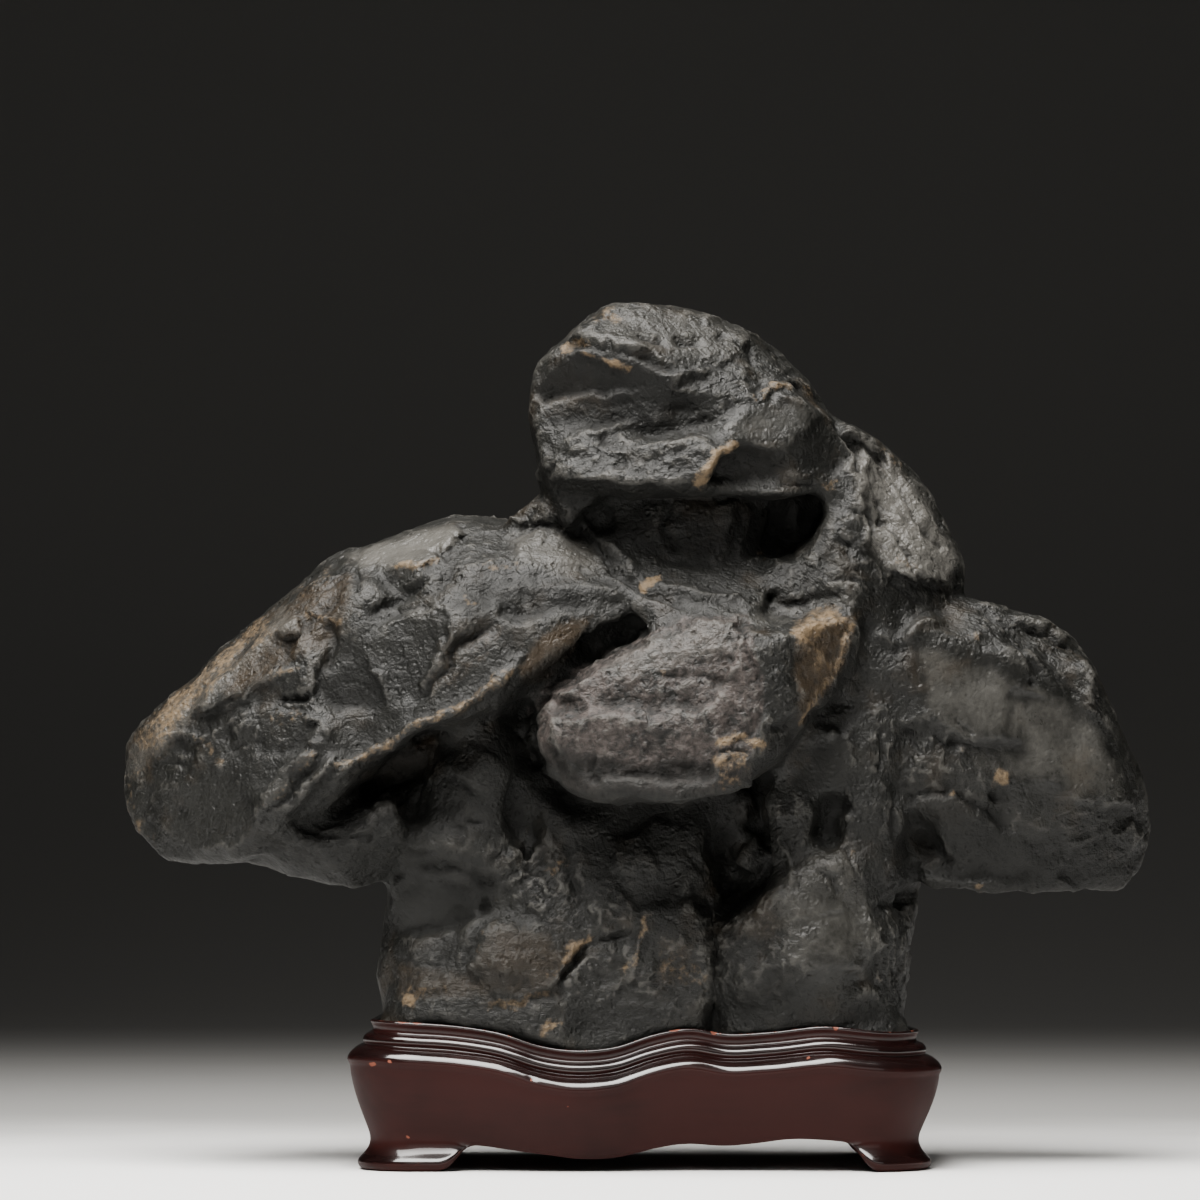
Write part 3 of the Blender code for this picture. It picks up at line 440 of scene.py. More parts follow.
# Strokes: kind, line, half-width, height (a "ledge" stands out on the left of its line and breaks off on the right)
STROKES = (
    # head
    ("ledge", ((12, 212.5), (4, 216), (-4, 219), (-13, 221), (-20, 219)), 7.0, -1.6),
    ("ledge", ((-20, 219.5), (-13, 221.5), (-4, 219.5), (4, 216.5), (12, 212.5)), 6.0, 1.4),
    ("crease", ((-20, 216.5), (-15, 217.5), (-10, 216.5), (-7, 214.5), (-2, 214)), 1.6, 1.0),
    ("crease", ((0, 221.5), (3, 220.8), (6, 221.3)), 1.7, -1.7),
    ("crease", ((10, 221.5), (13, 220.5), (17, 221)), 1.8, -1.9),
    ("crease", ((13, 228), (17, 228), (18, 225), (15, 224)), 1.1, -0.8),
    ("swell", ((22, 222.3),), 1.6, -1.6),
    ("crease", ((8, 210.5), (14, 211.7), (21, 213.3)), 2.2, 1.2),
    ("crease", ((21, 219), (17, 215), (14, 213)), 2.2, 0.9),
    ("crease", ((31, 222), (31, 216), (33, 209), (31, 204)), 1.8, -1.3),
    ("crease", ((34, 220), (39, 215), (43, 210)), 2.0, -1.0),
    ("ledge", ((30, 205.5), (34, 206), (38, 208.5), (42, 209), (47, 206)), 3.5, 1.3),
    ("swell", ((13, 203.5), (18, 203), (24, 205)), 4.2, 0.6),
    ("crease", ((24, 202), (17, 199.5), (12, 197.5), (4, 196), (-3, 196.5)), 2.4, -1.3),
    ("ledge", ((26, 200), (20, 197.5), (12, 196), (4, 194.5), (-4, 194)), 3.0, -1.0),
    ("swell", ((-4.8, 198.5), (-4.8, 195.5)), 1.9, 1.7),
    ("swell", ((-11, 193.5), (-4, 194)), 3.0, -1.6),
    ("crease", ((-26, 193), (-20, 190), (-11, 191.5), (-6, 189), (1, 190.5)), 1.6, -0.8),
    ("crease", ((-10, 186), (-4, 188.5), (4, 188), (10, 191.5), (15, 193)), 1.6, -0.8),
    ("crease", ((-20, 194), (-14, 196), (-8, 196)), 1.6, 0.8),
    ("ledge", ((-25, 185), (-20, 183.6), (-12, 184), (-5, 183), (3, 182.4), (12, 182)), 4.0, 1.2),
    ("swell", ((-23.5, 186.5),), 2.0, -1.6),
    ("swell", ((25, 192.5), (21.5, 190.5), (19.3, 187), (17, 183.5)), 2.0, 1.8),
    ("crease", ((22, 189), (20.5, 185.5), (19, 182.5)), 2.0, -1.6),
    ("crease", ((27, 189.5), (30, 186), (33.5, 183)), 0.9, 0.7),
    ("crease", ((38, 184), (43, 185), (48, 185.5)), 1.8, 0.9),
    ("crease", ((36, 181.5), (44, 182), (50, 182)), 1.4, -0.9),
    ("crease", ((52, 202), (55.5, 196), (59, 191), (59.5, 186)), 1.8, -2.0),
    ("crease", ((55, 198), (59, 194), (61, 189), (61, 184), (62, 178)), 1.6, 1.5),
    # hollow under the head
    ("ledge", ((-21, 171), (-15, 168), (-10, 162.5), (-6, 157.5), (0, 153.2), (8, 150.5), (16, 148.2)),
     3.0, -1.8),
    ("crease", ((4, 155), (12, 153.5), (19, 151), (26, 152), (30, 150)), 1.8, 1.6),
    ("crease", ((-9, 166), (-5, 162), (0, 158.5)), 2.4, 1.6),
    ("crease", ((28, 160), (33, 162), (39, 161)), 2.0, 1.4),
    ("swell", ((34, 171), (43, 170)), 10.0, -3.5),
    ("swell", ((-14, 172), (-6, 173)), 5.0, -3.5),
    ("crease", ((28, 178), (29, 170), (26, 162)), 3.2, 1.4),
    ("crease", ((9, 178), (7, 170), (10, 163)), 2.4, -1.4),
    # left shoulder
    ("crease", ((-51, 170), (-49, 168.5), (-47, 169), (-46.5, 166.5)), 1.3, -1.4),
    ("crease", ((-57, 165), (-54, 164.5), (-52, 162.5)), 1.6, -1.6),
    ("crease", ((-51, 165), (-51, 158), (-54, 152)), 1.6, -1.2),
    ("ledge", ((-67, 159.5), (-60, 160.8), (-54, 161.5)), 4.0, 1.2),
    ("crease", ((-72, 146.5), (-66, 150.5), (-61, 154), (-57, 158)), 2.2, -2.0),
    ("swell", ((-66, 148.2), (-60, 149.6), (-55, 150)), 1.5, 1.5),
    ("crease", ((-75, 166), (-77, 160), (-76, 154)), 1.8, -1.0),
    ("crease", ((-62, 121), (-57, 127), (-52, 132), (-49.5, 138), (-44, 141.5), (-39, 145.5)), 2.4, -2.4),
    ("crease", ((-54, 146), (-53, 139), (-56, 131)), 1.6, 1.0),
    ("crease", ((-48, 152), (-45, 151), (-42.5, 149)), 1.4, 0.8),
    ("crease", ((-37, 172), (-33, 172.8), (-30, 172.5)), 2.0, 1.6),
    ("crease", ((-30, 170.5), (-25, 171.5), (-20, 169.5)), 1.2, -1.5),
    ("crease", ((-28, 168), (-26, 169), (-24, 168), (-25, 166)), 0.9, -0.8),
    ("crease", ((-18, 160), (-14, 158), (-11, 159.5)), 1.2, -1.0),
    ("crease", ((-32, 156), (-31, 150), (-33, 146)), 1.2, -0.8),
    # left arm
    ("crease", ((-84, 146), (-83, 139), (-85.5, 131), (-86, 123)), 2.2, -2.0),
    ("ledge", ((-75, 137), (-69.5, 129.5), (-67.3, 122), (-70, 120)), 3.0, 1.2),
    ("crease", ((-90, 147.5), (-86, 146), (-81, 145)), 1.2, 1.0),
    ("ledge", ((-112, 119.5), (-104, 127), (-98, 130.5), (-92, 132.5)), 4.5, 1.5),
    ("crease", ((-129, 113.5), (-124, 115), (-119, 113.8), (-115, 114.5), (-111, 118)), 1.7, 1.5),
    ("crease", ((-130, 108), (-125, 106.5), (-120, 106)), 1.6, -1.2),
    ("crease", ((-122, 105.5), (-118, 107), (-112.5, 106.5), (-113, 104)), 1.0, 0.9),
    ("crease", ((-112, 110), (-106, 112), (-101, 113)), 1.6, -1.1),
    ("crease", ((-97, 124.5), (-93, 123.4), (-88, 124.5)), 1.7, -2.2),
    ("crease", ((-97.5, 123), (-92.5, 121.7), (-87.5, 123)), 0.9, 1.1),
    ("swell", ((-97, 119), (-91, 119)), 2.2, 0.7),
    ("swell", ((-84.5, 116.5), (-85, 113.5)), 1.6, 1.2),
    ("swell", ((-87.5, 111), (-93, 105), (-97, 100.5), (-102, 94.5)), 2.8, 2.2),
    ("swell", ((-82, 109), (-85, 104), (-91, 99), (-97, 94)), 2.6, 2.0),
    ("crease", ((-85.5, 109.5), (-90, 103.5), (-96, 97.5)), 1.5, -1.4),
    ("crease", ((-89.5, 112.3), (-85, 112)), 0.9, 0.9),
    ("crease", ((-124.5, 95.5), (-123, 94)), 1.0, -0.8),
    ("swell", ((-81, 105.8), (-73, 109), (-66, 113), (-60, 117.3), (-52, 119.8), (-45, 124.3), (-40, 127.8),
               (-35, 132), (-32.5, 136)), 1.7, 1.7),
    ("crease", ((-72, 106.5), (-64, 110.5), (-57, 115), (-51, 117)), 2.2, -2.6),
    ("swell", ((-75, 98), (-68, 101)), 4.0, -2.6),
    ("ledge", ((-70, 86.8), (-76, 88), (-84, 87.5), (-95, 91)), 3.0, -1.4),
    ("swell", ((-71, 93), (-66, 96.5)), 4.0, 2.2),
    ("crease", ((-61, 91), (-64, 95), (-63, 100)), 1.6, -1.6),
    ("crease", ((-34.5, 138.2), (-32, 138.2), (-31.8, 136), (-34.2, 135.8), (-34.5, 138.2)), 0.7, 0.6),
    # between the shoulder and the block
    ("swell", ((-16, 136), (-8, 141), (2, 145.5)), 4.5, -4.5),
    ("crease", ((-25, 131), (-16, 138), (-12, 145)), 2.0, -1.6),
    ("swell", ((-31, 112), (-26, 105)), 4.5, -3.5),
    ("crease", ((-34, 117), (-30, 112), (-26, 105), (-21, 100)), 1.6, -2.0),
    ("crease", ((-20.5, 98.2), (-18, 96.3)), 1.2, 1.1),
    # the jutting block
    ("crease", ((-29, 125), (-15, 131.2), (-5, 137.6), (6, 142.3), (14, 146.3)), 1.4, 0.9),
    ("crease", ((4, 131), (13, 130.5), (20, 130.4), (27, 129)), 1.6, -1.2),
    ("crease", ((28, 147), (29, 139), (32.5, 130), (33.5, 122), (31, 114)), 1.6, -1.1),
    ("crease", ((42, 141), (42.5, 133), (42, 124)), 1.4, -1.0),
    ("crease", ((22, 112.6), (28, 114), (33, 112.2)), 1.1, 0.9),
    ("crease", ((20, 110), (26, 110.5), (31, 109.5)), 1.2, -0.8),
    ("crease", ((-12, 111), (-13, 105), (-11, 101)), 1.4, -1.0),
    ("swell", ((6.3, 131.8),), 1.5, 0.8),
    ("crease", ((36, 147.5), (41, 147.2), (46, 146)), 1.2, -1.3),
    ("crease", ((35, 115.5), (39, 116.5), (43, 118.3)), 1.6, -1.4),
    ("crease", ((28.5, 90), (27.6, 95), (28.6, 100), (30.5, 104.5)), 1.3, 1.6),
    # trunk, left
    ("crease", ((-60, 91), (-58.5, 100), (-56, 111)), 0.9, -0.9),
    ("crease", ((-57.6, 92), (-56, 101), (-54, 112)), 0.9, -0.8),
    ("crease", ((-51, 105), (-47, 101), (-44.5, 97)), 1.6, -1.2),
    ("crease", ((-47, 92), (-42, 91.3)), 1.8, -1.8),
    ("crease", ((-48, 50), (-46.5, 56), (-43.5, 62), (-39, 65.5)), 1.8, -1.5),
    ("swell", ((-43, 68), (-40, 68.5)), 2.6, -1.6),
    ("crease", ((-40, 80), (-36, 84), (-31, 89)), 1.8, -1.2),
    ("crease", ((-29, 89), (-26, 84), (-25.5, 79)), 1.4, -1.1),
    ("crease", ((-35, 73), (-31, 77.5), (-27, 75), (-24, 70)), 1.4, 1.2),
    ("crease", ((-33, 71), (-29, 66), (-22, 63.5)), 1.6, -1.1),
    ("ledge", ((-52, 46.3), (-58, 45.6), (-63, 44.5)), 3.0, -1.1),
    ("ledge", ((-19, 46.5), (-26, 45), (-33, 42.5), (-41, 41)), 3.0, -1.2),
    ("crease", ((-20.5, 46), (-19.5, 51), (-16.5, 55), (-12.5, 58.5)), 1.6, -2.6),
    ("crease", ((-22, 48), (-20.5, 53), (-17.5, 56.8), (-12.8, 60)), 1.1, 1.4),
    ("swell", ((-10, 60.5), (-2, 63.3)), 2.0, 0.9),
    ("crease", ((-11, 58.2), (-3, 60.3)), 1.2, -1.0),
    ("swell", ((2.4, 65), (2, 61), (0.8, 57), (-1.4, 53.5), (-3, 50.8)), 1.7, 1.2),
    ("crease", ((-0.8, 50), (-2, 46)), 1.2, -1.1),
    ("crease", ((9.8, 68), (11.5, 71.3), (15, 71), (18, 67), (19.3, 61)), 1.3, -1.0),
    ("crease", ((19.2, 67), (20, 60), (20.6, 52), (20.5, 44), (20, 37)), 1.7, -3.6),
    ("crease", ((15.5, 85), (15, 79), (16, 74)), 1.1, 1.0),
    ("swell", ((17.5, 84), (16.8, 76), (18, 69), (20, 60), (20.5, 48), (20.2, 36)), 6.0, 3.4),
    ("swell", ((-31, 116), (-28, 108), (-23, 101)), 5.0, 2.4),
    ("swell", ((-53, 86),), 9.0, 2.4),
    ("swell", ((-46, 100), (-40, 110)), 9.0, 2.2),
    ("swell", ((-31, 84),), 7.0, 2.4),
    ("swell", ((-29, 72),), 7.0, 1.8),
    ("swell", ((-58, 67),), 9.0, 1.6),
    ("swell", ((-36, 53),), 9.0, 2.0),
    ("swell", ((-6, 78), (4, 82)), 10.0, 2.2),
    ("swell", ((-10, 52), (6, 50)), 9.0, 1.6),
    ("crease", ((-62, 79), (-52, 78.5), (-44, 76), (-38, 73)), 3.0, -1.6),
    ("crease", ((-24, 92), (-20, 84), (-18, 74), (-14, 68)), 3.0, -1.6),
    # trunk, right
    ("swell", ((50, 58),), 14.0, 2.6),
    ("swell", ((30, 48),), 10.0, 1.8),
    ("swell", ((64, 60),), 8.0, 1.4),
    ("swell", ((27, 80), (33, 86)), 8.0, 4.2),
    ("swell", ((32, 96),), 8.0, 3.0),
    ("swell", ((22, 82), (30, 84), (35, 80)), 5.0, -1.4),
    ("swell", ((21, 74), (25, 72)), 4.0, -2.6),
    ("swell", ((32, 101), (33, 94)), 4.2, -0.8),
    ("crease", ((38, 97), (38.2, 90), (39.6, 83), (41.6, 78), (41, 72.5)), 1.4, 1.3),
    ("crease", ((40.5, 72), (43, 72.8), (43, 75.5)), 0.9, -0.9),
    ("crease", ((48, 80), (52, 76), (55, 70)), 1.2, -1.3),
    ("crease", ((56, 85), (58, 79.5), (60.3, 73.5)), 0.9, -0.9),
    ("swell", ((51, 88),), 5.0, -1.2),
    ("swell", ((54, 96), (57.5, 94)), 3.2, -1.6),
    ("swell", ((57.5, 91.8),), 2.2, 1.9),
    ("crease", ((55, 101.5), (57, 98.3), (59, 95)), 0.9, 1.3),
    ("crease", ((69, 99), (69.5, 92), (70, 86)), 1.6, -1.6),
    ("swell", ((74, 86), (79, 84), (81.5, 78)), 4.4, -4.0),
    ("swell", ((78, 79.5),), 2.8, 1.6),
    ("swell", ((72, 72), (72, 68)), 3.6, -4.2),
    ("swell", ((66.5, 70.5), (68, 68)), 2.0, -2.0),
    ("crease", ((75.5, 75), (76.5, 70), (75.5, 66)), 1.2, 1.0),
    ("swell", ((65, 48.5),), 2.4, 1.0),
    ("swell", ((69, 51),), 1.1, -1.2),
    ("crease", ((70.5, 60), (71, 50), (70.5, 40)), 1.4, -1.2),
    ("swell", ((44, 118), (52, 121), (56, 124)), 3.0, -2.6),
    ("swell", ((52, 115.5),), 2.2, 1.0),
    # right shoulder
    ("swell", ((66, 172.5),), 2.8, -2.2),
    ("swell", ((61, 170.5), (61, 165.5)), 1.9, 1.7),
    ("crease", ((63, 182), (67, 172), (74, 162), (80, 152)), 1.6, -1.5),
    ("crease", ((57, 175), (62, 174), (63.5, 170)), 1.3, -1.3),
    ("crease", ((69, 182), (76, 172), (82, 162)), 1.4, -1.2),
    ("crease", ((52, 162), (57, 160), (63, 161)), 1.4, 1.1),
    ("crease", ((50, 157), (56, 157), (62, 155.5)), 1.3, -1.1),
    ("crease", ((53, 168), (57, 166), (57, 161)), 1.3, -1.3),
    ("ledge", ((56, 153.5), (48, 152), (40, 149.5), (32, 148.6)), 3.0, -1.2),
    ("crease", ((66, 157), (72, 153), (80, 150)), 1.5, -1.2),
    # right arm
    ("crease", ((103, 144), (108, 142.3), (113, 140.8), (118, 138.3)), 1.8, -2.6),
    ("ledge", ((100, 146), (108, 143.5), (117, 139.5)), 3.5, 1.2),
    ("crease", ((92, 148), (99, 143), (104, 137), (110, 130)), 1.6, -1.1),
    ("crease", ((108, 138), (114, 130), (120, 124)), 1.6, -1.1),
    ("crease", ((119, 137), (122, 130), (121, 123), (125, 119)), 1.4, 1.1),
    ("ledge", ((63, 142.5), (68, 138.2), (72, 140), (77, 143.8), (82, 145)), 3.5, 1.6),
    ("swell", ((91, 141),), 2.2, 1.0),
    ("swell", ((98, 103),), 2.8, 1.3),
    ("swell", ((96, 98),), 2.2, -1.9),
    ("swell", ((107, 129),), 2.0, -1.3),
    ("crease", ((105, 130.5), (108, 131), (109, 128.5)), 0.9, 0.8),
    ("swell", ((87, 110.5),), 2.0, 1.0),
    ("swell", ((85, 99),), 1.6, 0.8),
    ("crease", ((65, 117), (66, 110), (65, 104)), 1.8, -1.6),
    ("crease", ((72, 117), (74, 111), (72, 105)), 1.6, -1.3),
    ("crease", ((79, 116), (82, 112), (86, 114)), 1.5, -1.3),
    ("crease", ((86, 119), (90, 115), (89, 111)), 1.3, -1.0),
    ("crease", ((72, 98), (84, 99.5), (94, 94), (102, 87)), 2.0, -1.2),
    ("crease", ((116, 93), (124, 95), (132, 97)), 1.2, 0.7),
    ("crease", ((116, 87), (123, 88), (130, 91)), 1.2, -0.7),
    ("swell", ((92, 73.3),), 1.5, 0.8),
)

# Grain of each part of the front: outline, direction of its folds (degrees), how stretched, fold size, fold height,
# crumb height
GRAINS = (
    # band
    (((-28, 196), (0, 196), (16, 199), (24, 193), (17, 183), (0, 181), (-26, 184)), 16, 2.0, 3.2, 1.0, 0.6),
    # brow
    (((-28, 206), (-5, 206), (10, 208), (26, 205), (24, 198), (0, 196), (-28, 196)),
     -24, 1.6, 4.4, 0.6, 0.3),
    # crown right
    (((29, 222), (44, 213), (50, 204), (40, 208), (30, 205)), -48, 1.8, 3.6, 1.2, 0.5),
    # crown
    (((-20, 220), (-4, 231), (20, 228), (31, 222), (30, 206), (10, 211), (0, 218)),
     20, 1.3, 6.0, 0.7, 0.25),
    # right shoulder
    (((53, 201), (72, 190), (90, 158), (86, 149), (60, 153), (40, 149), (38, 158), (56, 176)),
     -56, 2.6, 4.5, 1.3, 0.5),
    # neck
    (((-36, 176), (-26, 182), (-18, 178), (-20, 168), (-34, 168)), 20, 1.4, 2.6, 1.3, 0.6),
    # shoulder wrinkles
    (((-48, 172), (-34, 173), (-32, 160), (-44, 156), (-52, 160)), -30, 2.0, 3.2, 1.1, 0.5),
    # outer edge
    (((-92, 158), (-78, 163), (-82, 150), (-96, 142), (-112, 128), (-128, 112), (-132, 98),
      (-142, 98), (-140, 114), (-120, 134)), 42, 2.6, 3.6, 0.7, 0.3),
    # arm middle
    (((-128, 112), (-100, 132), (-84, 144), (-84, 118), (-90, 110), (-112, 104)), 30, 2.0, 4.0, 0.9, 0.3),
    # arm low
    (((-102, 98), (-80, 110), (-62, 106), (-60, 86), (-80, 80), (-104, 84)), 24, 1.6, 3.4, 1.1, 0.5),
    # block
    (((-29, 125), (-8, 136), (14, 147), (30, 148), (33, 125), (28, 103), (0, 100), (-20, 102)),
     22, 1.7, 3.6, 0.9, 0.7),
    # block right
    (((34, 147), (60, 152), (60, 142), (50, 124), (42, 117), (33, 112)), 62, 2.2, 2.8, 0.7, 0.5),
    # trunk rough
    (((-38, 84), (-14, 84), (0, 72), (-4, 62), (-22, 62), (-36, 68)), 30, 1.5, 3.4, 1.4, 0.6),
    # trunk low
    (((-66, 56), (-22, 58), (18, 60), (20, 34), (-66, 36)), 10, 1.4, 3.8, 1.1, 0.5),
    # right lobe
    (((20, 68), (36, 70), (44, 60), (44, 36), (20, 36)), -20, 1.5, 3.0, 1.1, 0.6),
    # right edge
    (((60, 78), (76, 78), (74, 40), (60, 38)), 80, 1.6, 3.2, 1.0, 0.5),
    # right folds
    (((60, 124), (92, 122), (92, 98), (64, 92)), 76, 1.5, 4.4, 1.2, 0.5),
    # arm rim
    (((88, 152), (104, 150), (124, 136), (128, 120), (118, 122), (106, 134), (92, 142)),
     -42, 2.6, 3.6, 1.0, 0.4),
    # arm end
    (((112, 100), (136, 100), (138, 86), (130, 74), (112, 80)), 16, 2.0, 3.6, 0.7, 0.35),
)

# Corners of the rocks inside the hollow under the head: its left end, its back, and its floor's two slopes
HOLLOW_ROCKS = (
    ((-28, -20, 185), (-25, -30, 185), (-6, -33, 182), (-8, -14, 182), (-19, -29, 168), (-23, -14, 167),
     (-11, -14, 172), (-26, -4, 182), (-18, -3, 169), (-8, -2, 180), (-14, -24, 172)),
    ((-17, -17, 177), (-9, -22, 181), (22, -22, 181), (30, -14, 166), (24, -25, 158), (0, -28, 159),
     (-12, -22, 166), (-16, 2, 178), (32, 2, 178), (28, 2, 158), (-8, 2, 158), (6, -27, 170), (50, -9, 178),
     (52, -8, 167), (-20, -20, 168), (-14, -26, 160)),
    ((-8, -35, 156), (3, -39, 150), (16, -41, 147), (30, -39, 148), (33, -24, 160), (18, -22, 163),
     (0, -24, 163), (-13, -24, 168), (-8, -8, 140), (36, -8, 140), (6, -48, 133), (18, -50, 135),
     (32, -50, 137), (4, -38, 128), (34, -38, 130)),
    ((24, -34, 150), (40, -33, 152), (50, -27, 160), (54, -22, 170), (46, -15, 166), (34, -18, 161),
     (30, -6, 150), (50, -6, 150)),
)

# Streak directions on the front, in degrees
STREAKS = (("streak_level", 0.0), ("streak_rising", 45.0), ("streak_steep", 90.0), ("streak_falling", -45.0))

# Places that stay smooth: outline
SMOOTH = (
    ((24, 194), (27, 200), (34, 205), (46, 204), (47, 198), (38, 192)),
    ((-80, 163), (-62, 169), (-50, 171), (-54, 164), (-66, 159.5)),
    ((-66, 77), (-50, 76), (-45, 66), (-56, 60), (-67, 62)),
    ((74, 138), (96, 138), (118, 124), (128, 104), (112, 96), (90, 112), (76, 120)),
    ((44, 70), (60, 70), (62, 46), (46, 46)),
    ((30, 177), (50, 176), (46, 166), (32, 166)),
    ((-26, 209), (-12, 216), (2, 214), (-2, 208), (-20, 206)),
    ((38, 116), (56, 116), (54, 100), (40, 100)),
)


# ---------------------------------------------------------------- properties

# The cells that the stone is carved in, in metres, and the smoothing passes that cells of this size need
VOXEL = 0.0009
VOXEL_PASSES = 14
FEWEST_PASSES = 4


class ViewLook(bpy.types.PropertyGroup):
    """Where the object is looked at from, and the light on it"""

    distance: FloatProperty(
        name="Distance", description="From the eye to the middle of the view", default=1.25, unit="LENGTH"
    )
    elevation: FloatProperty(
        name="Elevation", description="How far above the horizon the eye is, in degrees", default=-3.5
    )
    key_strength: FloatProperty(name="Overhead Light", description="Power of the overhead light", default=12.5)
    fill_strength: FloatProperty(name="Front Fill", description="Power of the front fill", default=3.4)
    backdrop_strength: FloatProperty(
        name="Backdrop Light", description="Power of the light on the backdrop", default=3.6
    )
    floor_colour: FloatVectorProperty(
        name="Floor", description="Colour of the floor", default=(0.84, 0.84, 0.83), subtype="COLOR"
    )
    backdrop_colour: FloatVectorProperty(
        name="Backdrop", description="Colour of the backdrop", default=(0.098, 0.0965, 0.092), subtype="COLOR"
    )


class StoneLook(bpy.types.PropertyGroup):
    """Sizes and colours of the stone"""

    voxel: FloatProperty(
        name="Fineness", description="Size of the cells that the stone is carved in", default=VOXEL, unit="LENGTH"
    )
    triangles: IntProperty(name="Triangles", description="Most triangles of the finished stone", default=190000)
    # The darkest stone, and also the painted shade on shaded patches and in hollows
    dark_stone_and_shade: FloatVectorProperty(
        name="Dark Stone",
        description="The stone in its darkest patches",
        default=(0.0042, 0.0043, 0.0037),
        subtype="COLOR",
    )
    body: FloatVectorProperty(
        name="Stone", description="The stone's own colour", default=(0.0120, 0.0119, 0.0104), subtype="COLOR"
    )
    # Paler stone on rubbed ridges and dust, and also the painted light on lit patches
    worn: FloatVectorProperty(
        name="Worn Stone", description="High places, worn paler", default=(0.084, 0.0805, 0.0725), subtype="COLOR"
    )
    tan: FloatVectorProperty(
        name="Tan Veins", description="Veins and nodules", default=(0.120, 0.084, 0.048), subtype="COLOR"
    )
    brown: FloatVectorProperty(
        name="Brown Faces", description="Iron-stained faces", default=(0.032, 0.0228, 0.0138), subtype="COLOR"
    )
    plum: FloatVectorProperty(
        name="Block", description="The block's purplish grey", default=(0.060, 0.0488, 0.044), subtype="COLOR"
    )


class StandLook(bpy.types.PropertyGroup):
    """Colours of the stand"""

    lacquer: FloatVectorProperty(
        name="Lacquer", description="Dark red-brown lacquer", default=(0.021, 0.0050, 0.0042), subtype="COLOR"
    )
    deep: FloatVectorProperty(
        name="Deep Lacquer",
        description="Where the lacquer lies thick",
        default=(0.0048, 0.0018, 0.0017),
        subtype="COLOR",
    )
    rubbed: FloatVectorProperty(
        name="Rubbed Edges",
        description="Wood that shows on rubbed edges",
        default=(0.17, 0.055, 0.035),
        subtype="COLOR",
    )


# ---------------------------------------------------------------- materials

# Painted shade of the floor close behind the object and well in front of it, where the light falls off
SHADED_FLOOR_BEHIND = (0.24, 0.238, 0.232)
SHADED_FLOOR_IN_FRONT = (0.15, 0.148, 0.142)


class Wire:
    """A node's output that Python's operators work on."""

    def __init__(self, paint, socket):
        self.paint = paint
        self.socket = socket

    def __add__(self, other):
        return self.paint.maths("ADD", self, other)

    def __radd__(self, other):
        return self.paint.maths("ADD", other, self)

    def __sub__(self, other):
        return self.paint.maths("SUBTRACT", self, other)

    def __rsub__(self, other):
        return self.paint.maths("SUBTRACT", other, self)

    def __mul__(self, other):
        return self.paint.maths("MULTIPLY", self, other)

    def __abs__(self):
        return self.paint.maths("ABSOLUTE", self, 0.0)

    def between(self, low, high):
        """0 at low and 1 at high, soft at both ends."""
        return self.paint.node(
            "MapRange",
            {"interpolation_type": "SMOOTHSTEP"},
            {"Value": self, "From Min": low, "From Max": high},
        )


class Paint:
    """A material in the making."""

    def __init__(self, name):
        self.material = bpy.data.materials.new(name)
        self.material.use_nodes = True
        self.tree = self.material.node_tree
        self.tree.nodes.clear()
        self.place = self.node("TexCoord", out="Object")

    def node(self, kind, settings=None, sockets=None, out=None):
        """A new node with these settings and inputs; gives its output of this name, or else its first."""
        made = self.tree.nodes.new("ShaderNode" + kind)
        for key, value in (settings or {}).items():
            setattr(made, key, value)
        for name, value in (sockets or {}).items():
            socket = next(each for each in made.inputs if each.name == name and each.enabled)
            self.feed(socket, value)
        ready = [each for each in made.outputs if each.enabled and (out is None or each.name == out)]
        return Wire(self, ready[0])

    def feed(self, socket, value):
        """Links a wire to the socket, or sets it to a number or a colour."""
        if isinstance(value, Wire):
            self.tree.links.new(value.socket, socket)
        elif socket.type == "RGBA" and len(value) == 3:
            socket.default_value = (*value, 1.0)
        else:
            socket.default_value = value

    def maths(self, operation, first, second):
        """The result of one sum."""
        made = self.tree.nodes.new("ShaderNodeMath")
        made.operation = operation
        self.feed(made.inputs[0], first)
        self.feed(made.inputs[1], second)
        return Wire(self, made.outputs[0])

    def mixed(self, share, first, second):
        """A colour between two others."""
        return self.node("Mix", {"data_type": "RGBA"}, {"Factor": share, "A": first, "B": second})

    def field(self, name):
        """A number stored on the mesh."""
        return self.node("Attribute", {"attribute_name": name}, out="Fac")

    def speckle(self, size, detail=4.0, uneven=0.55, stretch=None, place=None):
        """Noise with swells about this many millimetres across, stretched by this much each way."""
        place = place or self.place
        if stretch:
            place = self.node("Mapping", None, {"Vector": place, "Scale": stretch})
        return self.node(
            "TexNoise",
            None,
            {"Vector": place, "Scale": 1.0 / (size * MM), "Detail": detail, "Roughness": uneven},
            out="Fac",
        )

    def streak(self, angle, size, stretch):
        """Sharp-edged noise, stretched in a direction of the front."""
        drawn = self.node(
            "Mapping",
            {"vector_type": "TEXTURE"},
            {"Vector": self.place, "Rotation": (0.0, -math.radians(angle), 0.0), "Scale": (stretch, 1.0, 1.0)},
        )
        swell = self.speckle(size, 4.0, 0.6, place=drawn)
        edge = 1.0 - abs(swell - 0.5) * 5.0
        return edge.between(0.0, 1.0)

    def cells(self, size, settings=None):
        """How far each place is into its cell, for cells about this many millimetres across."""
        sockets = {"Vector": self.place, "Scale": 1.0 / (size * MM)}
        return self.node("TexVoronoi", settings, sockets, out="Distance")

    def bumped(self, height, strength, distance, under=None):
        """A normal that follows this height, of this many millimetres, over the normal under it."""
        sockets = {"Height": height, "Strength": strength, "Distance": distance * MM}
        if under:
            sockets["Normal"] = under
        return self.node("Bump", None, sockets)

    def finish(self, sockets):
        """The material, with a shader that takes these inputs."""
        shader = self.node("BsdfPrincipled", None, sockets)
        output = self.tree.nodes.new("ShaderNodeOutputMaterial")
        self.tree.links.new(shader.socket, output.inputs["Surface"])
        return self.material


